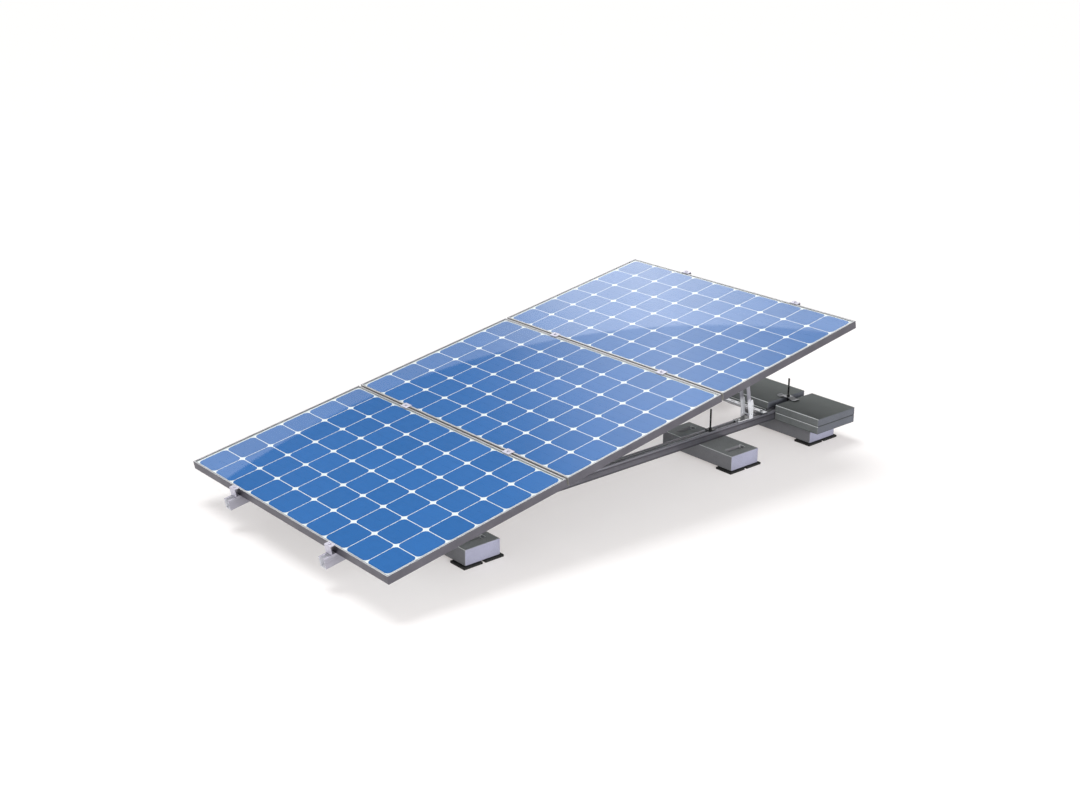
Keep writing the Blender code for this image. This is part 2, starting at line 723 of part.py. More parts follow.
def add_rod(label, name, x, y):
    """A threaded rod with its washers and nuts, from under the block to above the rail."""
    length = ROD_TOPS[name] - ROD_GROUND_CLEARANCE
    middle = ROD_GROUND_CLEARANCE + length / 2
    mesh = cylinder_mesh(label, ROD_RADIUS, length, ROD_SIDES)
    rod = add_piece(label, mesh, GROUND, (x, y, middle), finish=BLACK_STEEL)
    top = BLOCK_BOTTOM - SEAT_GAP - middle
    join_cylinder(rod, label + "_lower_washer", LOWER_WASHER_RADIUS, top - LOWER_WASHER_HEIGHT, top, (0, 0))
    size = (SQUARE_WASHER_SIZE, SQUARE_WASHER_SIZE, SQUARE_WASHER_HEIGHT)
    base = BASE_RAIL_TOP + SEAT_GAP - middle
    join_box(rod, label + "_washer", size, (0.0, 0.0, base + SQUARE_WASHER_HEIGHT / 2))
    for count, (base, height) in enumerate(rod_nuts(name)):
        low = base - middle
        join_cylinder(rod, "%s_nut_%d" % (label, count), NUT_RADIUS, low, low + height, (0, 0), HEX_SIDES)


def add_rods():
    for name, y in BLOCK_PLACES.items():
        for side, x in SIDES.items():
            add_rod("rod_%s_%s" % (name, side), name, x, y)


def wing_path():
    """The pressed plate's middle line, across the gap: tips up, feet down, raised centre."""
    half = WING_THICKNESS / 2
    right = [
        (WING_CENTRE / 2, WING_RISE + half),
        (WING_TOUCH / 2, half),
        (WING_SPAN / 2, WING_TIP_RISE + half),
    ]
    return [(-x, z) for x, z in reversed(right)] + right


def add_wing_plates():
    for side, x in SIDES.items():
        name = "wing_plate_" + side
        mesh = outline_mesh("wing_plate", [strip_outline(wing_path(), WING_THICKNESS)], WING_DEPTH)
        place = (x, BLOCK_PLACES["rear"], SLABS_TOP + SEAT_GAP)
        plate = add_piece(name, mesh, GROUND, place, ACROSS, finish=CLAMP_METAL)
        radius = ROD_RADIUS + HOLE_CLEARANCE
        drill(plate, name + "_hole", radius, 4 * WING_RISE, (0.0, 0.0, 0.0), ACROSS, ROD_SIDES)


def leg_mesh(length):
    """A flat bar with round ends, drawn along Y with a bolt hole at each end."""
    end = LEG_WIDTH / 2
    outline = arc((0.0, length), end, 0.0, 180.0, 6) + arc((0.0, 0.0), end, 180.0, 360.0, 6)
    hole = BOLT_RADIUS + HOLE_CLEARANCE
    low = arc((0.0, 0.0), hole, 0.0, 315.0, 7)
    high = arc((0.0, length), hole, 0.0, 315.0, 7)
    return crosswise(outline_mesh("leg", [outline, low, high], LEG_THICKNESS))


def add_legs():
    foot, head = leg_foot_above(), -RAIL_HEIGHT - HEAD_BOLT_DROP
    for side, x in SIDES.items():
        for half, shift in (("inner", -1), ("outer", 1)):
            offset = shift * LEG_SPACING / 2 * (1 if side == "right" else -1)
            add_piece(
                "rear_leg_%s_%s" % (side, half), leg_mesh(head - foot), SLOPE,
                (x + offset, LEG_PLACE, foot), finish=BRIGHT_METAL,
            )


def folded_u_mesh(name, inside, height, width):
    """A sheet folded to a U: a floor with its underside at zero and an ear at each side."""
    middle = inside + BRACKET_THICKNESS / 2
    floor = BRACKET_THICKNESS / 2
    path = [(-middle, height), (-middle, floor), (middle, floor), (middle, height)]
    return lengthwise(outline_mesh(name, [strip_outline(path, BRACKET_THICKNESS)], width))


def ear_shape_mesh(name, height, width, taper, reach):
    """What is left of the ears seen from the side: straight up, then tapered to the top."""
    half = width / 2
    out = half + taper / 2
    outline = [(-out, -taper), (out, -taper), (out, height - 2 * taper), (half - taper / 2, height)]
    outline += [(taper / 2 - half, height), (-out, height - 2 * taper)]
    return crosswise(outline_mesh(name, [outline], reach))


def join_cross_bolt(bracket, label, height, reach):
    """A bolt across both ears at a height above the bracket's underside."""
    tool = label + "_pivot"
    shaft = cylinder_mesh(tool, BOLT_RADIUS, 2 * reach + PIVOT_HEAD_HEIGHT)
    combine(bracket, add_tool(tool, shaft, bracket, (0.0, 0.0, height), SIDEWAYS), "UNION")
    for end, sign in (("left", -1), ("right", 1)):
        tool = "%s_pivot_%s" % (label, end)
        head = cylinder_mesh(tool, BOLT_HEAD_RADIUS, PIVOT_HEAD_HEIGHT, HEX_SIDES)
        x = sign * (reach + PIVOT_HEAD_HEIGHT / 2 - HOLE_CLEARANCE)
        combine(bracket, add_tool(tool, head, bracket, (x, 0.0, height), SIDEWAYS), "UNION")


def add_bracket(name, parent, place, turn, inside, ear_height, ear_width, taper, pivot):
    """A folded U with tapered ears and a cross bolt through both ears."""
    folded = folded_u_mesh(name, inside, ear_height + taper, ear_width)
    bracket = add_piece(name, folded, parent, place, turn, BRIGHT_METAL)
    outside = inside + BRACKET_THICKNESS
    shape = ear_shape_mesh(name + "_ears", ear_height, ear_width, taper, 4 * outside)
    combine(bracket, add_tool(name + "_ears", shape, bracket), "INTERSECT")
    join_cross_bolt(bracket, name, pivot, outside)
    return bracket


def add_foot_brackets():
    for side, x in SIDES.items():
        name = "foot_bracket_" + side
        place = (x, FOOT_PLACE, BASE_RAIL_TOP + SEAT_GAP)
        bracket = add_bracket(
            name, GROUND, place, (0.0, 0.0, 0.0), EAR_INSIDE, FOOT_EAR_HEIGHT, FOOT_EAR_WIDTH,
            FOOT_EAR_TAPER, FOOT_BOLT_RISE - SEAT_GAP,
        )
        size = (RAIL_WIDTH, FOOT_PLATE_REACH, BRACKET_THICKNESS)
        join_box(bracket, name + "_plate", size, (0.0, -FOOT_PLATE_REACH / 2, BRACKET_THICKNESS / 2))
        join_channel_bolt(bracket, 0.0, -FOOT_PLATE_BOLT, BRACKET_THICKNESS, -SEAT_GAP, name + "_fixing")


def add_head_brackets():
    """The same folded U upside down under the sloping rail, bolted up through its floor."""
    for side, x in SIDES.items():
        name = "head_bracket_" + side
        place = (x, LEG_PLACE, -RAIL_HEIGHT - SEAT_GAP)
        bracket = add_bracket(
            name, SLOPE, place, (0.0, math.pi, 0.0), EAR_INSIDE, HEAD_BOLT_DROP + HEAD_EAR_BELOW_BOLT,
            FOOT_EAR_WIDTH, HEAD_EAR_TAPER, HEAD_BOLT_DROP - SEAT_GAP,
        )
        inside_rail = SEAT_GAP + RAIL_WALL + SEAT_GAP
        join_cylinder(
            bracket, name + "_bolt", BOLT_RADIUS, -inside_rail - NUT_HEIGHT - BOLT_END,
            BRACKET_THICKNESS / 2, (0.0, 0.0),
        )
        join_cylinder(
            bracket, name + "_nut", BOLT_HEAD_RADIUS, -inside_rail - NUT_HEIGHT, -inside_rail,
            (0.0, 0.0), HEX_SIDES,
        )


def add_front_brackets():
    along = front_pivot_along()
    y, pivot = slope_to_level(along, -RAIL_HEIGHT / 2)
    base = BASE_RAIL_TOP + SEAT_GAP
    for side, x in SIDES.items():
        name = "front_bracket_" + side
        bracket = add_bracket(
            name, GROUND, (x, y, base), (0.0, 0.0, 0.0), RAIL_WIDTH / 2 + SEAT_GAP,
            pivot - base + FRONT_EAR_ABOVE_BOLT, FRONT_EAR_WIDTH, FOOT_EAR_TAPER, pivot - base,
        )
        join_channel_bolt(bracket, 0.0, 0.0, BRACKET_THICKNESS, -SEAT_GAP, name + "_fixing")


def brace_section():
    """A shallow channel open downwards, its top at zero."""
    half = BRACE_WIDTH / 2
    inner = half - BRACE_WALL
    return [
        (-half, -BRACE_HEIGHT), (-inner, -BRACE_HEIGHT), (-inner, -BRACE_WALL), (inner, -BRACE_WALL),
        (inner, -BRACE_HEIGHT), (half, -BRACE_HEIGHT), (half, 0.0), (-half, 0.0),
    ]


def slot_mesh():
    end = SLOT_WIDTH / 2
    reach = (SLOT_LENGTH - SLOT_WIDTH) / 2
    outline = arc((reach, 0.0), end, -90.0, 90.0, 2) + arc((-reach, 0.0), end, 90.0, 270.0, 2)
    return outline_mesh("brace_slot", [outline], 4 * BRACE_WALL)


def add_cross_brace():
    """A slotted channel lying across both base rails, bolted down into their slots."""
    z = BASE_RAIL_TOP + SEAT_GAP + BRACE_HEIGHT
    mesh = crosswise(outline_mesh("cross_brace", [brace_section()], BRACE_LENGTH))
    brace = add_piece("cross_brace", mesh, GROUND, (0.0, BRACE_PLACE, z), finish=BRIGHT_METAL)
    start = -(SLOT_COUNT - 1) / 2 * SLOT_PITCH
    cutter = add_tool("brace_slots", slot_mesh(), brace, (start, 0.0, 0.0))
    repeat = cutter.modifiers.new("repeat", "ARRAY")
    repeat.count = SLOT_COUNT
    repeat.use_relative_offset = False
    repeat.use_constant_offset = True
    repeat.constant_offset_displace = (SLOT_PITCH, 0.0, 0.0)
    combine(brace, cutter, "DIFFERENCE")
    for side, x in SIDES.items():
        join_channel_bolt(brace, x, 0.0, 0.0, BASE_RAIL_TOP - z, "brace_bolt_" + side)


clear_scene()
PARTS = new_collection("solar_ballast_mount")
TOOLS = new_collection("cutters")
ACROSS = (math.pi / 2, 0.0, 0.0)
SIDEWAYS = (0.0, math.pi / 2, 0.0)
GROUND = new_empty("ground", (0.0, start_of_slope(), 0.0), (0.0, 0.0, 0.0))
SLOPE = new_empty("slope", (0.0, start_of_slope(), LOW_EDGE_HEIGHT), (TILT, 0.0, 0.0))

ALUMINIUM = new_finish("frame_aluminium", (0.42, 0.42, 0.44), 0.38, 1.0)
GLASS = new_finish("module_glass", (0.75, 0.82, 0.90), 0.05, 0.0)
SILICON = new_finish("cell_blue", (0.045, 0.16, 0.46), 0.30, 0.0)
WHITE_SHEET = new_finish("white_backsheet", (0.85, 0.87, 0.88), 0.55, 0.0)
BLACK_PLASTIC = new_finish("black_plastic", (0.02, 0.02, 0.02), 0.45, 0.0)
RAIL_GREY = new_finish("rail_aluminium", (0.30, 0.31, 0.33), 0.40, 1.0)
CLAMP_METAL = new_finish("clamp_aluminium", (0.60, 0.61, 0.63), 0.35, 1.0)
BRIGHT_METAL = new_finish("bright_steel", (0.72, 0.73, 0.75), 0.28, 1.0)
BLACK_STEEL = new_finish("black_steel", (0.05, 0.05, 0.05), 0.40, 0.8)
BLOCK_GREY = new_finish("block_grey", (0.11, 0.12, 0.12), 0.85, 0.0)
CONCRETE = new_finish("slab_concrete", (0.13, 0.14, 0.14), 0.90, 0.0)

add_modules()
add_slope_rails()
add_base_rails()
add_end_clamps()
add_mid_clamps()
add_blocks()
add_slabs()
add_rods()
add_wing_plates()
add_legs()
add_foot_brackets()
add_head_brackets()
add_front_brackets()
add_cross_brace()
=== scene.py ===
"""Looks of the solar ballast mount: detailed pieces, finishes, light and camera. Metres, +Z up."""

import math

import bmesh
import bpy
from mathutils import Matrix, Vector


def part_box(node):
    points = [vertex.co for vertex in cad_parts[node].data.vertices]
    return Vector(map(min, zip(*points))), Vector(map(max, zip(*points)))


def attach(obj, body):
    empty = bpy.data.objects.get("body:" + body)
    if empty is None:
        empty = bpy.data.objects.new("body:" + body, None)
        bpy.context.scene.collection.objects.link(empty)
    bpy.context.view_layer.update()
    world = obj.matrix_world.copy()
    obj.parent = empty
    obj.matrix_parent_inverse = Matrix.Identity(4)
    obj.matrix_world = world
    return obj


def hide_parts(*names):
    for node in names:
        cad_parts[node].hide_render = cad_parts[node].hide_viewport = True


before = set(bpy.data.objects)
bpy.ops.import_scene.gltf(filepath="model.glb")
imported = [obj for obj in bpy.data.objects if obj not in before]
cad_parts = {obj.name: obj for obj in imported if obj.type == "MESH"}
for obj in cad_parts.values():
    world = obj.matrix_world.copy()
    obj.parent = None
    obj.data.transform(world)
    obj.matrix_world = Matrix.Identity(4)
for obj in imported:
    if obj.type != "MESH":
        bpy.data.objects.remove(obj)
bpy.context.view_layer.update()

SEAT_GAP = 0.0003
HOLE_CLEARANCE = 0.0005
HOLE_SIDES = 24
CUT_THROUGH = 0.1
WELD = 0.00001
SMOOTH_ANGLE = math.radians(38.0)
METAL_EDGE = 0.0005
FINE_EDGE = 0.0006
FLAT_OUTLINE = 0.2
FLAT_RAIL = 0.5
CORNER_REACH = 0.48
SLOT_ROUNDING = 0.49

# Modules, in the slope's own axes
TILT = math.radians(10.0)
MODULE_NAMES = ("front", "middle", "rear")
MODULE_LENGTH = 1.650
MODULE_WIDTH = 0.990
MODULE_GAP = 0.012
MODULE_PITCH = MODULE_WIDTH + MODULE_GAP
ARRAY_DEPTH = len(MODULE_NAMES) * MODULE_PITCH - MODULE_GAP
FRAME_HEIGHT = 0.040
FRAME_WALL = 0.002
LIP_WIDTH = 0.009
LIP_THICKNESS = 0.0015
SHELF_TOP = 0.0327
FLANGE_WIDTH = 0.025
FLANGE_THICKNESS = 0.002
MITRE_GAP = 0.00012
FRAME_SLOTS = (-0.62, -0.40, 0.40, 0.62)
FRAME_SLOT_SIZE = (0.014, 0.009)

# Cells inside the laminate
CELLS_TOP = 0.0347
CELL_THICKNESS = 0.0004
CELL_COLUMNS = 10
CELL_ROWS = 6
CELL_SIZE = 0.156
CELL_CORNER = 0.0175
CELL_CORNER_BULGE = 0.38
CELL_CORNER_ROUNDING = 0.012
CELL_GAP_X = 0.00535
CELL_GAP_Y = 0.0047
RIBBONS = (-0.052, 0.0, 0.052)
RIBBON_WIDTH = 0.0011
RIBBON_THICKNESS = 0.0002
RIBBON_SETBACK = 0.002

# Junction box
JUNCTION_SIZE = (0.120, 0.095, 0.022)
JUNCTION_FROM_EDGE = 0.110
JUNCTION_TOP = 0.0335
JUNCTION_CORNER = 0.009
JUNCTION_TUB = 0.66
JUNCTION_TUB_EDGE = 0.0012
JUNCTION_LID = 0.28
JUNCTION_LID_EDGE = 0.0015
JUNCTION_LID_SETBACK = 0.004
JUNCTION_RIBS = (-0.024, -0.008, 0.008, 0.024)
JUNCTION_RIB_SIZE = (0.7 * JUNCTION_SIZE[0], 0.004, 0.0015)

# Rails
RAIL_X = 0.408
SIDES = {"left": -RAIL_X, "right": RAIL_X}
RAIL_WIDTH = 0.045
RAIL_HEIGHT = 0.050
RAIL_WALL = 0.0025
RAIL_LIP_THICKNESS = 0.003
BASE_RAIL_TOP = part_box("base_rail_left")[1][2]

# Fasteners
BOLT_RADIUS = 0.004
BOLT_HOLE = BOLT_RADIUS + HOLE_CLEARANCE
BOLT_HEAD_RADIUS = 0.0068
BOLT_HEAD_HEIGHT = 0.006
BOLT_WASHER_RADIUS = BOLT_HEAD_RADIUS + 0.0022
BOLT_END = 0.004
SOCKET_RADIUS = 0.0036
SOCKET_DEPTH = 0.0035
NUT_SIZE = (0.034, 0.020, 0.006)
NUT_EDGE = 0.0008
WASHER_HEIGHT = 0.0012
WASHER_EDGE = 0.0003
PIVOT_HEAD_HEIGHT = 0.005
PIVOT_END = 0.9 * PIVOT_HEAD_HEIGHT
PIVOT_WASHER_RADIUS = BOLT_HEAD_RADIUS + 0.0015
PIVOT_WASHER_HEIGHT = 0.001
CLAMP_THICKNESS = 0.003
CLAMP_BEND = 0.0025
END_CLAMP_LENGTH = 0.048
END_CLAMP_REACH = 0.024
END_CLAMP_GRIP = 0.005
END_CLAMP_FOOT = 0.020
END_CLAMP_BOLT = 0.0095
MID_CLAMP_SIZE = (0.050, 0.038)
MID_CLAMP_CORNER = 0.0015

# Blocks, pads and slabs
BLOCK_SIZE = (0.500, 0.200, 0.081)
BLOCK_BOTTOM = 0.011
BLOCK_TOP = BLOCK_BOTTOM + BLOCK_SIZE[2]
BLOCK_EDGE = 0.005
BLOCK_HOLE_EDGE = 0.0012
POCKET_OFFSET = 0.178
POCKET_SIZE = (0.038, 0.118)
POCKET_CORNER = 0.008
POCKET_DEPTH = 0.015
POCKET_SLOPE = 0.004
PAD_SIZE = 0.105
PAD_HEIGHT = 0.012
PAD_SETBACK = 0.0009
PAD_OVERHANG = 0.010
PAD_SPREAD = 0.226
PAD_EDGE = 0.0014
SLAB_EDGE = 0.004
SLAB_HALF = 0.150

# Threaded rods and hold-down plates
ROD_RADIUS = 0.005
ROD_HOLE = ROD_RADIUS + HOLE_CLEARANCE
THREAD_PITCH = 0.0015
THREAD_DEPTH = 0.0009
THREAD_SHARES = (0.0, 0.38, 0.58, 0.96)
THREAD_SIDES = 16
NUT_RADIUS = 0.0095
NUT_HEIGHT = 0.008
NUT_CHAMFER = 0.0009
SQUARE_WASHER = (0.040, 0.040, 0.004)
LOWER_WASHER_RADIUS = 0.011
LOWER_WASHER_HEIGHT = 0.0015
LOWER_NUT_HEIGHT = 0.006
WING_SPAN = 0.132
WING_DEPTH = 0.042
WING_THICKNESS = 0.003
WING_CENTRE = 0.034
WING_TOUCH = 0.092
WING_RISE = 0.009
WING_TIP_RISE = 0.006
WING_BEND = 0.008
WING_CORNER = 0.008

# Rear legs, brackets and brace
LEG_PLACE = ARRAY_DEPTH - 0.422
LEG_SPACING = 0.052
LEG_WIDTH = 0.025
LEG_THICKNESS = 0.004
FOOT_BOLT_RISE = 0.0235
HEAD_BOLT_DROP = 0.026
BRACKET_THICKNESS = 0.004
BRACKET_BEND = 0.005
EAR_INSIDE = LEG_SPACING / 2 + LEG_THICKNESS / 2 + SEAT_GAP
EAR_WIDTH = 0.028
EAR_CORNER = 0.008
FRONT_EAR_WIDTH = 0.040
FOOT_EAR_HEIGHT = 0.110
FOOT_EAR_TAPER = 0.013
FOOT_PLATE_REACH = 0.085
FOOT_PLATE_BOLT = 0.062
FOOT_PLATE_CORNER = 0.004
HEAD_EAR_BELOW_BOLT = 0.022
HEAD_EAR_TAPER = 0.012
FRONT_EAR_ABOVE_BOLT = 0.0125
BRACE_OVERHANG = 0.034
BRACE_LENGTH = 2 * (RAIL_X + BRACE_OVERHANG)
BRACE_WIDTH = 0.033
BRACE_HEIGHT = 0.012
BRACE_WALL = 0.0025
BRACE_BEND = 0.003
BRACE_EDGE = 0.0004
BRACE_SLOT = (0.028, 0.009)
BRACE_SLOT_PITCH = 0.050
BRACE_SLOT_COUNT = 15

# Tones, and where they lie on a piece
WHITE = (1.0, 1.0, 1.0, 1.0)
COOL = (0.98, 0.985, 1.03)
WARM = (1.04, 1.0, 0.94)
VIOLET = (0.98, 0.955, 1.10)
PURPLE = (0.96, 0.925, 1.32)
CELL_DARK = (0.018, 0.135, 0.40, 1.0)
CELL_LIGHT = (0.030, 0.165, 0.47, 1.0)
CELL_FINGER = (0.16, 0.30, 0.55, 1.0)
CELL_FINGER_SCALE = 50.0
FILM_DARK = (0.76, 0.83, 0.84, 1.0)
FILM_LIGHT = (0.84, 0.90, 0.91, 1.0)
RIBBON_DARK = (0.34, 0.42, 0.56, 1.0)
RIBBON_LIGHT = (0.44, 0.52, 0.66, 1.0)
# Painted highlight on the frames' upward lips
LIP_PAINTED_HIGHLIGHT = (0.41, 0.415, 0.43, 1.0)
# Heights over which the legs' painted shade sets in
LEG_PAINTED_SHADE_HEIGHTS = (0.070, 0.100)
BAND_BLUR = 0.0012
# Painted shade low on the base rail's side and in its groove, and a painted highlight just under its top
BASE_RAIL_PAINTED_BANDS = (
    (0.097, 0.003, (0.085, 0.083, 0.095, 1.0)),
    (0.1255, 0.0012, (0.07, 0.068, 0.080, 1.0)),
    (0.1355, 0.0025, (0.27, 0.27, 0.31, 1.0)),
)
CHANNEL_SIDE_BLUR = (0.001, 0.0003)
CHANNEL_TOP_BLUR = 0.0006
STONE_END_BLUR = (0.0025, 0.0005)
# Painted highlight on the upper front edges of cast stone
EDGE_PAINTED_HIGHLIGHT = (0.86, 0.87, 0.87, 1.0)
# Painted shade along the lower edges of cast stone
EDGE_PAINTED_SHADE = (0.03, 0.03, 0.033, 1.0)
ALONG_X = (3.0, 900.0, 900.0)
ALONG_Y = (900.0, 3.0, 900.0)

# Camera, and the card that the glass mirrors
CAMERA_PLACE = Vector((5.618, -4.746, 3.041))
CAMERA_AIM = Vector((-0.71828, 0.60542, -0.34285))
CAMERA_LENS = 51.604
CAMERA_SENSOR = 36.0
CARD_PLACE = Vector((-4.3229, 2.7497, 3.5728))
CARD_ACROSS = Vector((-0.53671, -0.84377, 0.0))
CARD_UP = Vector((0.43915, -0.27933, 0.85389))
CARD_SIZE = (9.0, 5.0)
CARD_ARC_CENTRE = (0.682, 7.100, 0.0)
CARD_ARC_RADIUS = 7.506
CARD_ARC_BLUR = 0.01
CARD_FADES_FROM = (3.3, 1.3)
CARD_BRIGHTEST = 3.3
CARD_STRENGTH = 3.05
CARD_INSIDE = (
    (-2.4, 1.0), (-1.8, 1.55), (-1.2, 2.0), (-0.6, 1.5), (-0.2, 1.05), (0.2, 0.5), (0.6, 0.25), (1.4, 0.15),
)
CARD_BEYOND = (
    (-2.4, 1.9), (-1.8, 2.6), (-1.2, 3.2), (-0.5, 2.7), (0.0, 1.75), (0.5, 1.2), (1.2, 1.1), (2.8, 1.35),
)

# Floor, sky and lamps
FLOOR_RADIUS = 60.0
FLOOR_GLOW = (0.432, 0.404, 0.397, 1.0)
FLOOR_SHARE = (0.575, 0.575, 0.575, 1.0)
FLOOR_PAINT = (0.86, 0.86, 0.86, 1.0)
SKY_HORIZON = 0.80
SKY_OVERHEAD = 0.176
SKY_FADE = 0.42
FILL_LIGHT = 0.50
LAMPS = (
    ("overhead", "SUN", (-3.8, 0.5, 8.0), (0.0, 0.0, 0.0), 1.85, {"angle": math.radians(30.0)}),
    ("side", "AREA", (9.0, -1.0, 2.6), (0.0, 0.0, 0.3), 420.0, {"size": 5.0, "size_y": 2.5}),
    ("front", "AREA", (0.5, -9.0, 3.0), (0.0, 0.0, 0.3), 160.0, {"size": 6.0, "size_y": 2.5}),
)


def new_collection(name):
    collection = bpy.data.collections.new(name)
    bpy.context.scene.collection.children.link(collection)
    return collection


def linked(name, data, collection):
    thing = bpy.data.objects.new(name, data)
    collection.objects.link(thing)
    return thing


def at(x=0.0, y=0.0, z=0.0):
    return Matrix.Translation((x, y, z))


def turned(angle, axis):
    return Matrix.Rotation(math.radians(angle), 4, axis)


def slope_axes():
    """The axes of the sloping rails: X across, Y up the slope, origin at the low module's edge."""
    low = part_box("module_frame_front")[0]
    y = low[1] + math.sin(TILT) * (SEAT_GAP + FRAME_HEIGHT)
    return at(0.0, y, low[2] - math.cos(TILT) * SEAT_GAP) @ Matrix.Rotation(TILT, 4, "X")


PIECES = new_collection("pieces")
STAGE = new_collection("stage")
WORKSHOP = new_collection("workshop")
IDENTITY = Matrix.Identity(4)
SLOPE = slope_axes()
# Stands a section drawn in XY up in YZ, its thickness along X
CROSSWISE = turned(90.0, "Z") @ turned(90.0, "X")
# Stands a section drawn in XY up in XZ, its thickness along Y
LENGTHWISE = turned(90.0, "X")
# Lays a cylinder's axis along X
SIDEWAYS = turned(90.0, "Y")


# Mesh helpers

def mesh_from(bm, name="shape"):
    mesh = bpy.data.meshes.new(name)
    bm.to_mesh(mesh)
    bm.free()
    return mesh


def box_mesh(size, middle=0.0):
    """A box on the Z axis, with its middle at that height."""
    bm = bmesh.new()
    corners = bmesh.ops.create_cube(bm, size=1.0)["verts"]
    bmesh.ops.scale(bm, vec=size, verts=corners)
    bmesh.ops.translate(bm, vec=(0.0, 0.0, middle), verts=corners)
    return mesh_from(bm)


def cylinder_mesh(radius, low, high, sides=HOLE_SIDES):
    bm = bmesh.new()
    corners = bmesh.ops.create_cone(
        bm, cap_ends=True, segments=sides, radius1=radius, radius2=radius, depth=high - low
    )["verts"]
    bmesh.ops.translate(bm, vec=(0.0, 0.0, (low + high) / 2), verts=corners)
    return mesh_from(bm)


def prism_mesh(rings):
    """A solid between two rings of points that match one by one."""
    bm = bmesh.new()
    first, last = [[bm.verts.new(point) for point in ring] for ring in rings]
    for i in range(len(first)):
        j = (i + 1) % len(first)
        bm.faces.new((first[i], first[j], last[j], last[i]))
    bm.faces.new(first)
    bm.faces.new(last)
    bmesh.ops.recalc_face_normals(bm, faces=bm.faces)
    return mesh_from(bm)


def evaluated(holder):
    """The object's mesh as its curve or modifiers leave it, without the object."""
    bpy.context.view_layer.update()
    result = holder.evaluated_get(bpy.context.evaluated_depsgraph_get())
    mesh = bpy.data.meshes.new_from_object(result)
    bpy.data.objects.remove(holder)
    return mesh


def worked(mesh, kind, **settings):
    """The mesh after one modifier."""
    holder = linked("worked", mesh, WORKSHOP)
    change = holder.modifiers.new("change", kind)
    for key, value in settings.items():
        setattr(change, key, value)
    return evaluated(holder)


def combined(mesh, tool_mesh, operation="DIFFERENCE"):
    tool = linked("tool", tool_mesh, WORKSHOP)
    result = worked(mesh, "BOOLEAN", operation=operation, solver="EXACT", object=tool)
    bpy.data.objects.remove(tool)
    return result


def bevelled(mesh, width, segments=2, angle=40.0):
    return worked(
        mesh, "BEVEL", width=width, segments=segments, limit_method="ANGLE",
        angle_limit=math.radians(angle), use_clamp_overlap=True,
    )


def cleaned(mesh, angle):
    """The mesh with doubled points welded and faces within that angle joined."""
    bm = bmesh.new()
    bm.from_mesh(mesh)
    bmesh.ops.remove_doubles(bm, verts=bm.verts, dist=WELD)
    bmesh.ops.dissolve_limit(bm, angle_limit=math.radians(angle), verts=bm.verts, edges=bm.edges)
    bmesh.ops.recalc_face_normals(bm, faces=bm.faces)
    return mesh_from(bm)


def outline_mesh(loops, thickness):
    """A flat outline in XY, with any holes as further loops, thickened evenly along Z."""
    curve = bpy.data.curves.new("outline", "CURVE")
    curve.dimensions = "2D"
    curve.fill_mode = "BOTH"
    curve.extrude = thickness / 2
    for points in loops:
        spline = curve.splines.new("POLY")
        spline.points.add(len(points) - 1)
        spline.use_cyclic_u = True
        for point, (x, y) in zip(spline.points, points):
            point.co = (x, y, 0.0, 1.0)
    return cleaned(evaluated(linked("outline", curve, WORKSHOP)), FLAT_OUTLINE)


def merged(parts):
    """One mesh of several, each given with its place and its material's slot number."""
    bm = bmesh.new()
    for mesh, place, slot in parts:
        known = len(bm.faces)
        corners = len(bm.verts)
        bm.from_mesh(mesh)
        bm.faces.ensure_lookup_table()
        bm.verts.ensure_lookup_table()
        for vert in bm.verts[corners:]:
            vert.co = place @ vert.co
        for face in bm.faces[known:]:
            face.material_index = slot
    return mesh_from(bm)


def add_piece(name, mesh, place, finishes, nodes):
    """A visible piece in its own axes, standing for CAD nodes and riding on the one body."""
    mesh.materials.clear()
    for finish in finishes:
        mesh.materials.append(finish)
    mesh.shade_smooth()
    mesh.set_sharp_from_angle(angle=SMOOTH_ANGLE)
    piece = linked(name, mesh, PIECES)
    piece.matrix_world = place
    piece.modifiers.new("normals", "WEIGHTED_NORMAL").keep_sharp = True
    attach(piece, "root")
    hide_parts(*nodes)


def arc(centre, radius, start, end, steps):
    """Points on an arc, angles in degrees."""
    angles = [math.radians(start + (end - start) * step / steps) for step in range(steps + 1)]
    return [(centre[0] + radius * math.cos(turn), centre[1] + radius * math.sin(turn)) for turn in angles]


def circle(centre, radius):
    return arc(centre, radius, 0.0, 345.0, 23)


def rounded(points, radius, steps, closed=True):
    """The outline or path with every corner turned into an arc of about that radius."""
    result = []
    count = len(points)
    for index, point in enumerate(points):
        if not closed and index in (0, count - 1):
            result.append(point)
            continue
        corner = Vector(point)
        back = Vector(points[index - 1]) - corner
        ahead = Vector(points[(index + 1) % count]) - corner
        half = back.angle(ahead) / 2
        reach = min(radius / math.tan(half), back.length * CORNER_REACH, ahead.length * CORNER_REACH)
        start = corner + back.normalized() * reach
        end = corner + ahead.normalized() * reach
        for step in range(steps + 1):
            t = step / steps
            place = start * (1 - t) ** 2 + corner * 2 * t * (1 - t) + end * t ** 2
            result.append((place.x, place.y))
    return result


def strip_mesh(path, thickness, bend, width, stand):
    """A folded sheet whose middle follows the path, with rounded bends, stood up."""
    path = [Vector(point) for point in rounded(path, bend, 6, closed=False)]
    left, right = [], []
    for index, point in enumerate(path):
        ahead = path[min(index + 1, len(path) - 1)] - path[max(index - 1, 0)]
        across = Vector((-ahead.y, ahead.x)).normalized() * thickness / 2
        left.append(tuple(point + across))
        right.append(tuple(point - across))
    mesh = outline_mesh([left + right[::-1]], width)
    mesh.transform(stand)
    return mesh


def rectangle(width, height, centre=(0.0, 0.0)):
    x, y = width / 2, height / 2
    return [(centre[0] + sx * x, centre[1] + sy * y) for sx, sy in ((-1, -1), (1, -1), (1, 1), (-1, 1))]


def plate_mesh(length, width, corner, steps, thickness):
    """A flat plate with rounded corners, its middle at zero."""
    return outline_mesh([rounded(rectangle(length, width), corner, steps)], thickness)


def slot_mesh(size, sheet):
    """The cutter of a slot with round ends through a sheet."""
    return plate_mesh(*size, size[1] * SLOT_ROUNDING, 6, 4 * sheet)


# Fasteners

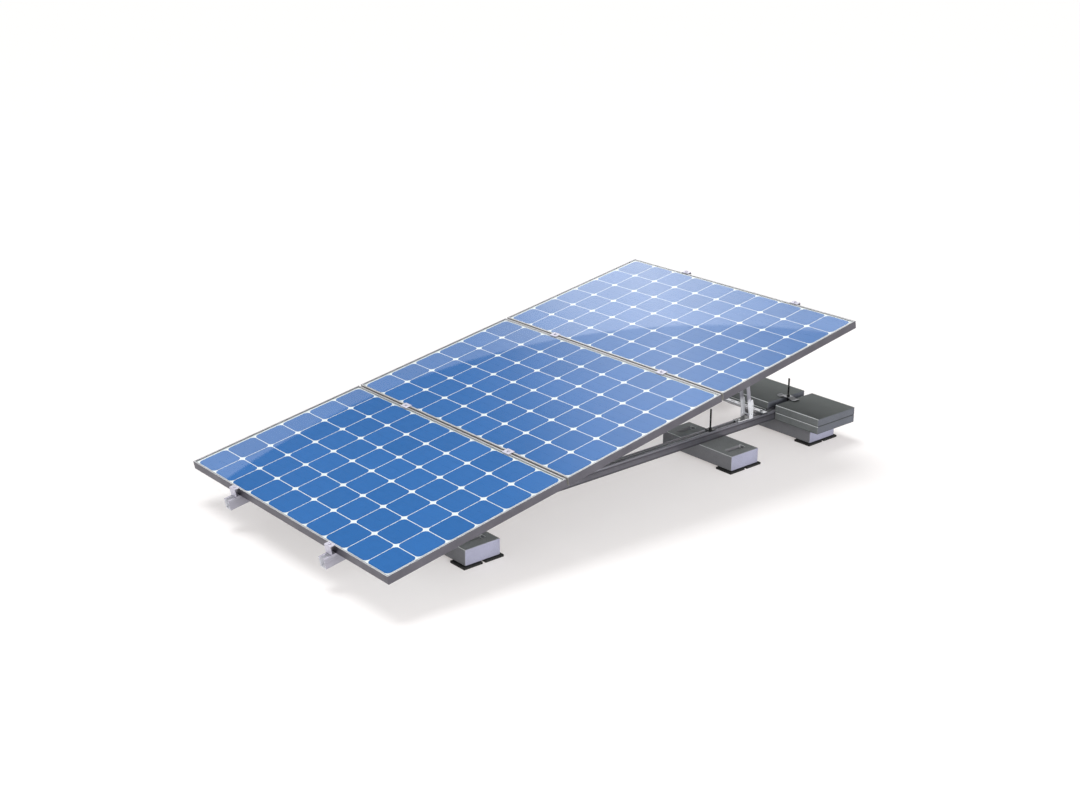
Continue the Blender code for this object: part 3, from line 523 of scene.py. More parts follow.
def hexagon_mesh(radius, low, high):
    """A hexagonal nut or head, its corners taken off by a turned chamfer."""
    turned_body = bevelled(cylinder_mesh(radius, low, high, 30), NUT_CHAMFER, 1, 60.0)
    return combined(cylinder_mesh(radius, low, high, 6), turned_body, "INTERSECT")


def washer_mesh(outside, inside, low, high):
    mesh = outline_mesh([circle((0.0, 0.0), outside), circle((0.0, 0.0), inside)], high - low)
    mesh.transform(at(z=(low + high) / 2))
    return bevelled(mesh, WASHER_EDGE, 1)


def socket_head_mesh():
    """A cap screw's head with its hexagon socket, standing on zero."""
    height = BOLT_HEAD_HEIGHT - WASHER_HEIGHT
    head = bevelled(cylinder_mesh(BOLT_HEAD_RADIUS, 0.0, height, 32), FINE_EDGE, 2, 60.0)
    return combined(head, cylinder_mesh(SOCKET_RADIUS, height - SOCKET_DEPTH, 2 * height, 6))


def thread_mesh(radius, low, high):
    """A threaded bar: crests and roots wound in a helix, cut square at both ends."""
    root = radius - THREAD_DEPTH
    profile = list(zip(THREAD_SHARES, (root, radius, radius, root)))
    turns = int((high - low) / THREAD_PITCH) + 3
    start = low - THREAD_PITCH
    rows = []
    bm = bmesh.new()
    for turn in range(turns + 1):
        for share, reach in profile:
            rows.append([])
            for side in range(THREAD_SIDES):
                angle = 2 * math.pi * side / THREAD_SIDES
                z = start + (turn + share - 1 + side / THREAD_SIDES) * THREAD_PITCH
                rows[-1].append(bm.verts.new((reach * math.cos(angle), reach * math.sin(angle), z)))
    for index in range(len(rows) - 1):
        lower, upper = rows[index], rows[index + 1]
        for side in range(THREAD_SIDES - 1):
            bm.faces.new((lower[side], lower[side + 1], upper[side + 1], upper[side]))
        lap = index + len(profile)
        if lap + 1 < len(rows):
            bm.faces.new((lower[-1], rows[lap][0], rows[lap + 1][0], upper[-1]))
    for z, normal in ((low, (0, 0, -1)), (high, (0, 0, 1))):
        geometry = list(bm.verts) + list(bm.edges) + list(bm.faces)
        bmesh.ops.bisect_plane(
            bm, geom=geometry, plane_co=(0, 0, z), plane_no=normal, clear_outer=True, dist=1e-7
        )
        rim = [
            edge for edge in bm.edges
            if edge.is_boundary and all(abs(vert.co.z - z) < 1e-6 for vert in edge.verts)
        ]
        bmesh.ops.holes_fill(bm, edges=rim, sides=0)
    bmesh.ops.recalc_face_normals(bm, faces=bm.faces)
    return mesh_from(bm)


SOCKET_HEAD = socket_head_mesh()
HEX_HEAD = hexagon_mesh(BOLT_HEAD_RADIUS, 0.0, BOLT_HEAD_HEIGHT - WASHER_HEIGHT)
PIVOT_HEAD = hexagon_mesh(BOLT_HEAD_RADIUS, 0.0, PIVOT_HEAD_HEIGHT - WASHER_HEIGHT)
# Bears under a rail's lips, its top at zero
NUT_IN_CHANNEL = bevelled(box_mesh(NUT_SIZE, -NUT_SIZE[2] / 2), NUT_EDGE)


def channel_bolt(x, y, seat, lip_top, head):
    """Parts of a bolt through a rail's slot: head, washer, shaft and the nut under the lips."""
    nut_top = lip_top - RAIL_LIP_THICKNESS - SEAT_GAP
    head_seat = seat + WASHER_HEIGHT
    return [
        (head, at(x, y, head_seat), 1),
        (washer_mesh(BOLT_WASHER_RADIUS, BOLT_RADIUS, seat, head_seat), at(x, y), 1),
        (thread_mesh(BOLT_RADIUS, nut_top - NUT_SIZE[2] - BOLT_END, head_seat), at(x, y), 1),
        (NUT_IN_CHANNEL, at(x, y, nut_top), 1),
    ]


def cross_bolt(pivot, inside):
    """Parts of a bolt across both ears, with a washer and a head or nut at each side."""
    reach = inside + BRACKET_THICKNESS
    shaft = thread_mesh(BOLT_RADIUS, -reach - PIVOT_END, reach + PIVOT_END)
    washer = washer_mesh(PIVOT_WASHER_RADIUS, BOLT_RADIUS, 0.0, PIVOT_WASHER_HEIGHT)
    parts = [(shaft, at(z=pivot) @ SIDEWAYS, 1)]
    for turn in (90.0, -90.0):
        outwards = at(z=pivot) @ turned(turn, "Y") @ at(z=reach)
        parts.append((washer, outwards, 1))
        parts.append((PIVOT_HEAD, outwards @ at(z=PIVOT_WASHER_HEIGHT), 1))
    return parts


# Finishes

class Nodes:
    """Short calls that build up a node tree."""

    def __init__(self, owner):
        owner.use_nodes = True
        self.tree = owner.node_tree

    def node(self, kind, inputs=(), **settings):
        node = self.tree.nodes.new("ShaderNode" + kind)
        for key, value in settings.items():
            setattr(node, key, value)
        for socket, value in dict(inputs).items():
            self.feed(node, socket, value)
        return node

    def feed(self, node, socket, value):
        """Link an output into a socket, or set the socket's own value."""
        if isinstance(value, bpy.types.NodeSocket):
            self.tree.links.new(value, node.inputs[socket])
        else:
            node.inputs[socket].default_value = value

    def axes(self, space):
        """X, Y and Z of a point or of the surface's direction."""
        return self.node("SeparateXYZ", {0: self.node("TexCoord").outputs[space]}).outputs

    def spread(self, value, low, high, to_low=0.0, to_high=1.0, **settings):
        """Stretch a range of values over another one."""
        inputs = {0: value, 1: low, 2: high, 3: to_low, 4: to_high}
        return self.node("MapRange", inputs, **settings).outputs[0]

    def maths(self, operation, first, second=0.0):
        return self.node("Math", {0: first, 1: second}, operation=operation).outputs[0]

    def both(self, first, second, share):
        """Two values, each given with its range, added up with that share of the first."""
        return self.maths("ADD", self.spread(*first, 0.0, share), self.spread(*second, 0.0, 1.0 - share))

    def blend(self, factor, first, second, blend_type="MIX"):
        inputs = {0: factor, 6: first, 7: second}
        return self.node("Mix", inputs, data_type="RGBA", blend_type=blend_type).outputs[2]

    def either(self, factor, first, second):
        """The first shader where the factor is zero, the second where it is one."""
        return self.node("MixShader", {0: factor, 1: first, 2: second}).outputs[0]


class Finish(Nodes):
    """A procedural material around one Principled shader."""

    def __init__(self, name, roughness, metallic=0.0, **sockets):
        self.material = bpy.data.materials.new(name)
        super().__init__(self.material)
        self.shader = self.tree.nodes["Principled BSDF"]
        self.drive(Roughness=roughness, Metallic=metallic, **sockets)

    def drive(self, **sockets):
        """Set the shader's own sockets, and give the material."""
        for socket, value in sockets.items():
            self.feed(self.shader, socket.replace("_", " "), value)
        return self.material

    def place(self, stretch=(1.0, 1.0, 1.0)):
        """A point in the piece's own metres, stretched for grain."""
        coordinates = self.node("TexCoord").outputs["Object"]
        return self.node("Mapping", {"Vector": coordinates, "Scale": stretch}).outputs["Vector"]

    def noise(self, scale, detail, roughness, stretch=(1.0, 1.0, 1.0)):
        inputs = {"Vector": self.place(stretch), "Scale": scale, "Detail": detail, "Roughness": roughness}
        return self.node("TexNoise", inputs).outputs["Fac"]

    def spots(self, scale):
        """Irregular patches: their distance from the middle, and one random tone for each."""
        outputs = self.node("TexVoronoi", {"Vector": self.place(), "Scale": scale}).outputs
        return outputs["Distance"], self.node("SeparateColor", {0: outputs["Color"]}).outputs[0]

    def bump(self, height, distance, strength, **below):
        inputs = {"Height": height, "Distance": distance, "Strength": strength, **below}
        return self.node("Bump", inputs).outputs["Normal"]


def grey(level, tint=(1.0, 1.0, 1.0)):
    return (level * tint[0], level * tint[1], level * tint[2], 1.0)


def painted_bands(finish, colour, bands):
    """Painted shade and highlight lines along an extrusion's grooves and ridges: a darker or paler tone at
    some heights.
    """
    height = finish.axes("Object")[2]
    for middle, half, tone in bands:
        away = finish.maths("ABSOLUTE", finish.maths("SUBTRACT", height, middle))
        colour = finish.blend(finish.spread(away, half, half + BAND_BLUR, 1.0, 0.0), colour, tone)
    return colour


def inside_channel(finish, below):
    """One on the inner walls of a rail, under its lips, and zero outside."""
    axes = finish.axes("Object")
    across = finish.maths("SUBTRACT", finish.maths("ABSOLUTE", axes[0]), RAIL_X)
    wall = [RAIL_WIDTH / 2 - RAIL_WALL + blur for blur in CHANNEL_SIDE_BLUR]
    across = finish.spread(finish.maths("ABSOLUTE", across), *wall)
    return finish.maths("MULTIPLY", across, finish.spread(axes[2], below, below - CHANNEL_TOP_BLUR))


def drawn_metal(
    name, dark, light, roughness, grain, metallic=1.0, painted_top_tone=None, bands=(), inner=None, below=None
):
    """Extruded or rolled metal: long fine draw lines and cloudy oxide, and a painted top tone on its upward
    faces: a painted highlight on the frames' lips, painted shade on the base rails' tops.

    The inner tone is painted light, pale and not metallic where shade falls: it lies inside a rail below
    that height, or else on faces that look down the slope.
    """
    finish = Finish(name, roughness, metallic)
    lines = finish.noise(1.0, 2.0, 0.6, grain)
    tone = finish.both((lines, 0.3, 0.7), (finish.noise(9.0, 4.0, 0.6), 0.3, 0.7), 0.35)
    colour = finish.blend(tone, dark, light)
    # Painted highlight or shade: upward faces take the top tone, paler on the frames' lips, a flat dark
    # tone on the base rails' tops
    if painted_top_tone:
        colour = finish.blend(finish.spread(finish.axes("Normal")[2], 0.5, 0.9), colour, painted_top_tone)
    # Painted shade and highlight lines at some heights
    colour = painted_bands(finish, colour, bands)
    # Painted light: a pale tone, not metallic, in the rails' channels and on the faces that look into the
    # seams
    if inner:
        if below is None:
            inside = finish.spread(finish.axes("Normal")[1], -0.5, -0.9)
        else:
            inside = inside_channel(finish, below)
        colour = finish.blend(inside, colour, inner)
        finish.drive(Metallic=finish.spread(inside, 0.0, 1.0, metallic, 0.0))
    return finish.drive(
        Base_Color=colour,
        Roughness=finish.spread(tone, 0.0, 1.0, roughness + 0.07, roughness - 0.05),
        Normal=finish.bump(lines, 0.00006, 0.6),
    )


def galvanised(name, dark, light, roughness, metallic=1.0, floor=None, shade_above=None):
    """Zinc-coated steel: faint crystal patches and marks, with painted shade on its upward faces and above
    a height.
    """
    finish = Finish(name, roughness, metallic)
    marks = finish.noise(35.0, 5.0, 0.65)
    tone = finish.both((finish.spots(90.0)[1], 0.0, 1.0), (marks, 0.35, 0.65), 0.45)
    colour = finish.blend(tone, dark, light)
    # Painted shade: upward faces, such as a bracket's floor, darkened
    if floor:
        colour = finish.blend(finish.spread(finish.axes("Normal")[2], 0.6, 0.9), colour, floor)
    # Painted shade: a darker tone above a height
    if shade_above:
        colour = finish.blend(finish.spread(finish.axes("Object")[2], *LEG_PAINTED_SHADE_HEIGHTS), colour, shade_above)
    return finish.drive(
        Base_Color=colour,
        Roughness=finish.spread(tone, 0.0, 1.0, roughness + 0.10, roughness - 0.06),
        Normal=finish.bump(marks, 0.00008, 0.5),
    )


def cast_stone(name, top, side, end, half_length, grain, pits):
    """Cast concrete with grains, stains and pores, and painted light and shade: tones for its top, sides
    and ends by facing, a painted highlight along its upper front edges, painted shade along its lower edges
    and in its pores.
    """
    finish = Finish(name, 0.88)
    normal = finish.axes("Normal")
    facing = [finish.maths("ABSOLUTE", axis) for axis in normal]
    # Painted light and shade by facing: the ends, the sides and the top each take their own tone
    out = finish.maths("ABSOLUTE", finish.axes("Object")[0])
    at_end = finish.spread(out, *(half_length - blur for blur in STONE_END_BLUR))
    sides = finish.blend(finish.maths("MULTIPLY", at_end, finish.spread(facing[0], 0.45, 0.85)), side, end)
    colour = finish.blend(finish.spread(normal[2], 0.35, 0.8), sides, top)
    flattest = finish.maths("MAXIMUM", finish.maths("MAXIMUM", facing[0], facing[1]), facing[2])
    on_edge = finish.spread(flattest, 0.992, 0.955)
    # Painted highlight on the bevels of the upper front edges
    front = finish.maths(
        "MULTIPLY", finish.spread(normal[1], -0.12, -0.30), finish.spread(normal[2], 0.12, 0.30)
    )
    # Painted shade on the bevels of the lower edges, a dark line between stacked pieces
    under = finish.spread(normal[2], -0.12, -0.3)
    colour = finish.blend(finish.maths("MULTIPLY", on_edge, front), colour, EDGE_PAINTED_HIGHLIGHT)
    colour = finish.blend(finish.maths("MULTIPLY", on_edge, under), colour, EDGE_PAINTED_SHADE)
    stains = finish.spread(finish.noise(7.0, 5.0, 0.62), 0.3, 0.7, 0.84, 1.0)
    grains = finish.noise(grain, 2.0, 0.7)
    # Pores darkened in colour: painted shade in the hollows
    pore = finish.spread(finish.spots(pits)[0], 0.08, 0.22)
    shade = finish.maths("ADD", stains, finish.spread(grains, 0.3, 0.7, -0.10, 0.16))
    shade = finish.maths("MULTIPLY", shade, finish.spread(pore, 0.0, 1.0, 0.72, 1.0))
    return finish.drive(
        Base_Color=finish.blend(1.0, colour, shade, "MULTIPLY"),
        Roughness=finish.spread(grains, 0.3, 0.7, 0.95, 0.78),
        Normal=finish.bump(pore, 0.0008, 0.6, Normal=finish.bump(grains, 0.0006, 0.5)),
    )


def crumb_rubber(name):
    """Bonded rubber crumb: black grains packed in a mat."""
    finish = Finish(name, 0.72)
    distance, tone = finish.spots(420.0)
    return finish.drive(
        Base_Color=finish.blend(tone, grey(0.006), grey(0.020)),
        Roughness=finish.spread(tone, 0.0, 1.0, 0.72, 0.92),
        Normal=finish.bump(distance, 0.0009, 0.8),
    )


def dark_plastic(name):
    """Moulded plastic with a fine grain, dusty in places."""
    finish = Finish(name, 0.42)
    dust = finish.noise(14.0, 4.0, 0.6)
    return finish.drive(
        Base_Color=finish.blend(finish.spread(dust, 0.35, 0.75), grey(0.016), grey(0.035)),
        Roughness=finish.spread(dust, 0.35, 0.75, 0.36, 0.55),
        Normal=finish.bump(finish.noise(900.0, 2.0, 0.5), 0.0001, 0.5),
    )


def blackened_steel(name):
    """Black-coated steel, thinner and paler on some crests."""
    finish = Finish(name, 0.38, 0.8)
    wear = finish.noise(60.0, 4.0, 0.6)
    return finish.drive(
        Base_Color=finish.blend(finish.spread(wear, 0.45, 0.75), grey(0.035), grey(0.16)),
        Roughness=finish.spread(wear, 0.3, 0.7, 0.48, 0.30),
        Normal=finish.bump(wear, 0.0001, 0.4),
    )


def cell_silicon(name):
    """Blue silicon wafers: each a little different, with fine collector fingers and soft mottling."""
    finish = Finish(name, 0.34, Specular_IOR_Level=0.04)
    axes, cell = finish.axes("Object"), []
    for axis, gap, count in ((0, CELL_GAP_X, CELL_COLUMNS), (1, CELL_GAP_Y, CELL_ROWS)):
        number = finish.maths("ADD", finish.maths("DIVIDE", axes[axis], CELL_SIZE + gap), count / 2)
        cell.append(finish.maths("FLOOR", number))
    number = finish.node("CombineXYZ", {0: cell[0], 1: cell[1]}).outputs[0]
    tone = finish.node("TexWhiteNoise", {"Vector": number}, noise_dimensions="2D").outputs["Value"]
    mottle = finish.noise(24.0, 4.0, 0.6)
    blue = finish.blend(finish.both((tone, 0.0, 1.0), (mottle, 0.3, 0.7), 0.7), CELL_DARK, CELL_LIGHT)
    inputs = {"Vector": finish.place(), "Scale": CELL_FINGER_SCALE}
    finger = finish.node("TexWave", inputs, bands_direction="X").outputs["Fac"]
    return finish.drive(
        Base_Color=finish.blend(finish.spread(finger, 0.86, 1.0, 0.0, 0.12), blue, CELL_FINGER),
        Roughness=finish.spread(mottle, 0.3, 0.7, 0.40, 0.30),
    )


def clear_glass(name):
    """Thin sheet glass: its surface reflects by angle and otherwise lets everything through."""
    finish = Finish(name, 0.016, 1.0)
    film = finish.noise(5.0, 4.0, 0.6)
    slant = finish.node("LayerWeight", {"Blend": 0.5}).outputs["Facing"]
    mirror = finish.spread(finish.maths("POWER", slant, 5.0), 0.0, 1.0, 0.04, 1.0)
    front = finish.maths("SUBTRACT", 1.0, finish.node("NewGeometry").outputs["Backfacing"])
    return finish.drive(
        Base_Color=finish.blend(finish.spread(film, 0.3, 0.7), grey(0.97), grey(1.0)),
        Roughness=finish.spread(film, 0.3, 0.7, 0.012, 0.022),
        Alpha=finish.maths("MULTIPLY", mirror, front),
    )


def white_film(name):
    finish = Finish(name, 0.5)
    return finish.drive(
        Base_Color=finish.blend(finish.noise(60.0, 3.0, 0.5), FILM_DARK, FILM_LIGHT),
        Normal=finish.bump(finish.noise(420.0, 2.0, 0.5), 0.0001, 0.3),
    )


def tinned_copper(name):
    finish = Finish(name, 0.30, 1.0)
    solder = finish.noise(300.0, 3.0, 0.6)
    return finish.drive(
        Base_Color=finish.blend(solder, RIBBON_DARK, RIBBON_LIGHT),
        Normal=finish.bump(solder, 0.00005, 0.5),
    )


FRAME_TONES = (grey(0.118, VIOLET), grey(0.165, VIOLET))
# The frames' upward lips take a painted highlight
FRAME_ALONG = drawn_metal("frame_metal_long", *FRAME_TONES, 0.42, ALONG_X, painted_top_tone=LIP_PAINTED_HIGHLIGHT)
# The short bars take a darker, more purple copy of the frame metal: painted shade on their end faces
FRAME_ACROSS = drawn_metal(
    "frame_metal_short", grey(0.085, PURPLE), grey(0.118, PURPLE), 0.42, ALONG_Y, painted_top_tone=LIP_PAINTED_HIGHLIGHT,
)
# The middle and rear modules' long bars: their faces that look down the slope into the seams are painted
# light
FRAME_IN_SEAM = drawn_metal(
    "frame_metal_seam", *FRAME_TONES, 0.42, ALONG_X, painted_top_tone=LIP_PAINTED_HIGHLIGHT, inner=grey(0.42, WARM),
)
# The channel's inner walls are painted light, pale and not metallic
SLOPE_RAIL_METAL = drawn_metal(
    "rail_metal", grey(0.40, VIOLET), grey(0.50, VIOLET), 0.40, ALONG_Y, 0.35,
    inner=grey(0.86, COOL), below=-RAIL_LIP_THICKNESS,
)
# Base rail: a painted top tone, painted shade and highlight bands, and painted light inside its channel
BASE_RAIL_METAL = drawn_metal(
    "base_rail_metal", grey(0.135, VIOLET), grey(0.185, VIOLET), 0.38, ALONG_Y, 0.6, grey(0.15, VIOLET),
    BASE_RAIL_PAINTED_BANDS, grey(0.52, COOL), BASE_RAIL_TOP - RAIL_LIP_THICKNESS,
)
CLAMP_METAL = drawn_metal("clamp_metal", grey(0.54, VIOLET), grey(0.64, VIOLET), 0.40, ALONG_X, 0.35)
# Bright zinc with painted shade on its upward faces
BRIGHT_METAL = galvanised("bright_metal", grey(0.88, COOL), grey(0.98, COOL), 0.30, 0.25, grey(0.12))
# Legs: bright zinc with painted shade higher up
LEG_METAL = galvanised("leg_metal", grey(0.88, COOL), grey(0.98, COOL), 0.32, 0.25, shade_above=grey(0.36, VIOLET))
PRESSED_METAL = galvanised("pressed_metal", grey(0.20, COOL), grey(0.30, COOL), 0.38)
BRACE_METAL = galvanised("brace_metal", grey(0.38, COOL), grey(0.50, COOL), 0.28)
# A near-black copy of the zinc for the foot brackets' tongues: painted shade
PLATE_METAL = galvanised("plate_metal", grey(0.05), grey(0.08), 0.42)
BOLT_METAL = galvanised("bolt_metal", grey(0.34), grey(0.46), 0.34)
BLACK_METAL = blackened_steel("black_metal")
# The stones' top, side and end tones are painted light and shade
BLOCK_STONE = cast_stone(
    "block_stone", (0.235, 0.240, 0.240, 1.0), (0.265, 0.260, 0.275, 1.0), (0.40, 0.40, 0.52, 1.0),
    BLOCK_SIZE[0] / 2, 260.0, 130.0,
)
SLAB_STONE = cast_stone(
    "slab_stone", (0.084, 0.092, 0.090, 1.0), (0.215, 0.225, 0.225, 1.0), (0.130, 0.138, 0.162, 1.0),
    SLAB_HALF, 330.0, 160.0,
)
RUBBER = crumb_rubber("pad_rubber")
PLASTIC = dark_plastic("junction_plastic")
SILICON = cell_silicon("cell_silicon")
RIBBON = tinned_copper("cell_ribbon")
CLEAR_GLASS = clear_glass("clear_glass")
WHITE_FILM = white_film("white_film")


# Modules

def frame_bar(half_length, half_width):
    """One mitred bar along X, its outer face towards +Y, a hair short of its neighbours."""
    lip, shelf = FRAME_HEIGHT - LIP_THICKNESS, SHELF_TOP - LIP_THICKNESS
    section = (
        (0.0, 0.0), (0.0, FRAME_HEIGHT), (LIP_WIDTH, FRAME_HEIGHT), (LIP_WIDTH, lip),
        (FRAME_WALL, lip), (FRAME_WALL, SHELF_TOP), (LIP_WIDTH, SHELF_TOP), (LIP_WIDTH, shelf),
        (FRAME_WALL, shelf), (FRAME_WALL, FLANGE_THICKNESS), (FLANGE_WIDTH, FLANGE_THICKNESS),
        (FLANGE_WIDTH, 0.0),
    )
    return bevelled(prism_mesh([
        [(sign * (half_length - inset - MITRE_GAP), half_width - inset, z) for inset, z in section]
        for sign in (-1, 1)
    ]), METAL_EDGE)


def module_frame_mesh():
    """Four bars, the long ones with mounting slots through their bottom flanges."""
    half_length, half_width = MODULE_LENGTH / 2, MODULE_WIDTH / 2
    long_bar = frame_bar(half_length, half_width)
    for x in FRAME_SLOTS:
        slot = slot_mesh(FRAME_SLOT_SIZE, FLANGE_THICKNESS)
        slot.transform(at(x, half_width - FLANGE_WIDTH / 2 - FRAME_WALL / 2))
        long_bar = combined(long_bar, slot)
    short_bar = frame_bar(half_width, half_length)
    return merged([
        (long_bar, IDENTITY, 0),
        (long_bar, turned(180.0, "Z"), 0),
        (short_bar, turned(90.0, "Z"), 1),
        (short_bar, turned(-90.0, "Z"), 1),
    ])


def cell_starts(count, gap):
    pitch = CELL_SIZE + gap
    start = -(count * pitch - gap) / 2
    return [start + index * pitch for index in range(count)]


def wafer_mesh():
    """A square wafer with its corners taken off by a shallow curve, its centre at zero."""
    half, low = CELL_SIZE / 2, CELL_SIZE / 2 - CELL_CORNER
    middle = half - CELL_CORNER * CELL_CORNER_BULGE
    outline = []
    for turn in range(4):
        spin = Matrix.Rotation(turn * math.pi / 2, 2)
        outline += [tuple(spin @ Vector(point)) for point in ((half, low), (middle, middle), (low, half))]
    return outline_mesh([rounded(outline, CELL_CORNER_ROUNDING, 3)], CELL_THICKNESS)


def cells_mesh():
    """All wafers of a module, and the ribbons that join each row along X."""
    columns = cell_starts(CELL_COLUMNS, CELL_GAP_X)
    rows = cell_starts(CELL_ROWS, CELL_GAP_Y)
    wafer, middle = wafer_mesh(), CELL_SIZE / 2
    parts = [(wafer, at(x + middle, y + middle, -CELL_THICKNESS / 2), 0) for y in rows for x in columns]
    reach = 2 * (-columns[0] - RIBBON_SETBACK)
    ribbon = box_mesh((reach, RIBBON_WIDTH, RIBBON_THICKNESS))
    for y in rows:
        parts += [(ribbon, at(0.0, y + middle + shift, RIBBON_THICKNESS / 2), 1) for shift in RIBBONS]
    return merged(parts)


def junction_box_mesh():
    """A shallow tub hanging from the backsheet, its lid downwards with stiffening ribs."""
    length, width, height = JUNCTION_SIZE
    tub_height, lid_height = height * JUNCTION_TUB, height * JUNCTION_LID
    tub = plate_mesh(length, width, JUNCTION_CORNER, 5, tub_height)
    lid_size = (length - JUNCTION_LID_SETBACK, width - JUNCTION_LID_SETBACK)
    lid = plate_mesh(*lid_size, JUNCTION_CORNER, 5, lid_height)
    lid_place = height / 2 - tub_height - lid_height / 2 + SEAT_GAP
    rib = bevelled(box_mesh(JUNCTION_RIB_SIZE), FINE_EDGE)
    rib_place = lid_place - lid_height / 2 - JUNCTION_RIB_SIZE[2] / 2 + SEAT_GAP
    return merged([
        (bevelled(tub, JUNCTION_TUB_EDGE), at(z=(height - tub_height) / 2), 0),
        (bevelled(lid, JUNCTION_LID_EDGE), at(z=lid_place), 0),
    ] + [(rib, at(0.0, y, rib_place), 0) for y in JUNCTION_RIBS])


def refinish(node, finish):
    """A better material on a CAD node whose shape is right."""
    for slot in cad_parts[node].material_slots:
        slot.material = finish


def add_modules():
    ring, cells, box = module_frame_mesh(), cells_mesh(), junction_box_mesh()
    box_shift = at(0.0, MODULE_WIDTH / 2 - JUNCTION_FROM_EDGE, JUNCTION_TOP - JUNCTION_SIZE[2] / 2)
    for index, name in enumerate(MODULE_NAMES):
        place = SLOPE @ at(0.0, index * MODULE_PITCH + MODULE_WIDTH / 2, SEAT_GAP)
        # Modules behind a seam take the frame metal with painted light on their seam faces
        metals = (FRAME_IN_SEAM if index else FRAME_ALONG, FRAME_ACROSS)
        for kind, node, mesh, shift, finishes, slot in (
            ("frame_", "module_frame_", ring, IDENTITY, metals, "frame_aluminium"),
            ("wafers_", "cells_", cells, at(z=CELLS_TOP), (SILICON, RIBBON), "cell_blue"),
            ("junction_", "junction_box_", box, box_shift, (PLASTIC,), "black_plastic"),
        ):
            add_piece(kind + name, mesh.copy(), place @ shift, finishes, [node + name])
        refinish("glass_" + name, CLEAR_GLASS)
        refinish("backsheet_" + name, WHITE_FILM)


# Rails and clamps

def add_rails():
    """The rails' own shapes with their edges eased."""
    for side in SIDES:
        for kind, metal in (("slope_rail_", SLOPE_RAIL_METAL), ("base_rail_", BASE_RAIL_METAL)):
            node = kind + side
            mesh = bevelled(cleaned(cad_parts[node].data, FLAT_RAIL), METAL_EDGE)
            place = SLOPE if kind == "slope_rail_" else IDENTITY
            mesh.transform(place.inverted())
            add_piece(node + "_bar", mesh, place, (metal,), [node])


def end_clamp_mesh():
    """Folded strip seen from its end: foot on the rail, web, and lip over the frame."""
    half = CLAMP_THICKNESS / 2
    outer, low = -END_CLAMP_REACH + half, SEAT_GAP + half
    top = SEAT_GAP + FRAME_HEIGHT + SEAT_GAP + half
    path = [(outer + END_CLAMP_FOOT, low), (outer, low), (outer, top), (END_CLAMP_GRIP, top)]
    strip = strip_mesh(path, CLAMP_THICKNESS, CLAMP_BEND, END_CLAMP_LENGTH, CROSSWISE)
    return bevelled(strip, METAL_EDGE, 2, 60.0)


def add_clamp(node, parts, place):
    """A clamp with its mesh in world axes, so that its bounds are no wider than its metal."""
    mesh = merged(parts)
    mesh.transform(place)
    add_piece(node + "_set", mesh, IDENTITY, (CLAMP_METAL, BOLT_METAL), [node])


def add_clamps():
    seat = SEAT_GAP + FRAME_HEIGHT + SEAT_GAP + CLAMP_THICKNESS
    parts = [(end_clamp_mesh(), IDENTITY, 0)]
    parts += channel_bolt(0.0, -END_CLAMP_BOLT, seat, 0.0, SOCKET_HEAD)
    for edge, y, turn in (("low", 0.0, 0.0), ("high", ARRAY_DEPTH, 180.0)):
        for side, x in SIDES.items():
            add_clamp("end_clamp_%s_%s" % (edge, side), parts, SLOPE @ at(x, y) @ turned(turn, "Z"))
    plate = bevelled(plate_mesh(*MID_CLAMP_SIZE, MID_CLAMP_CORNER, 3, CLAMP_THICKNESS), METAL_EDGE, 2, 60.0)
    parts = [(plate, at(z=seat - CLAMP_THICKNESS / 2), 0)]
    parts += channel_bolt(0.0, 0.0, seat, 0.0, SOCKET_HEAD)
    for seam in range(1, len(MODULE_NAMES)):
        y = seam * MODULE_PITCH - MODULE_GAP / 2
        for side, x in SIDES.items():
            add_clamp("mid_clamp_%d_%s" % (seam, side), parts, SLOPE @ at(x, y))


# Blocks, pads and slabs

def pocket_mesh(sign):
    """The cutter of a hand-hold: walls that lean out upwards, with rounded corners."""
    rings = []
    for z, slope in ((BLOCK_TOP - POCKET_DEPTH, POCKET_SLOPE), (BLOCK_TOP + POCKET_DEPTH, -POCKET_SLOPE)):
        outline = rounded(rectangle(POCKET_SIZE[0] - slope, POCKET_SIZE[1] - slope), POCKET_CORNER, 4)
        rings.append([(x + sign * POCKET_OFFSET, y, z) for x, y in outline])
    return prism_mesh(rings)


def block_mesh():
    body = bevelled(box_mesh(BLOCK_SIZE, (BLOCK_BOTTOM + BLOCK_TOP) / 2), BLOCK_EDGE)
    for sign in (-1, 1):
        body = combined(body, pocket_mesh(sign))
    return bevelled(combined(body, cylinder_mesh(ROD_HOLE, 0.0, 2 * BLOCK_TOP)), BLOCK_HOLE_EDGE, 1, 50.0)


def pads_mesh():
    """Four pads, a hair lower than the CAD's, which reach up into the block."""
    x = BLOCK_SIZE[0] / 2 + PAD_OVERHANG - PAD_SIZE / 2
    y = PAD_SPREAD / 2 - PAD_SIZE / 2
    pad = bevelled(box_mesh((PAD_SIZE, PAD_SIZE, PAD_HEIGHT - PAD_SETBACK), PAD_HEIGHT / 2), PAD_EDGE)
    return merged([(pad, at(sx * x, sy * y, -PAD_SETBACK / 2), 0) for sx in (-1, 1) for sy in (-1, 1)])


def centre_of(node):
    low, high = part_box(node)
    return [(a + b) / 2 for a, b in zip(low, high)]


def add_blocks():
    block, pads = block_mesh(), pads_mesh()
    for name in MODULE_NAMES:
        for side in SIDES:
            node = "ballast_block_%s_%s" % (name, side)
            x, y, _ = centre_of(node)
            add_piece(node + "_stone", block.copy(), at(x, y), (BLOCK_STONE,), [node])
            add_piece(node + "_pads", pads.copy(), at(x, y), (RUBBER,), [node])


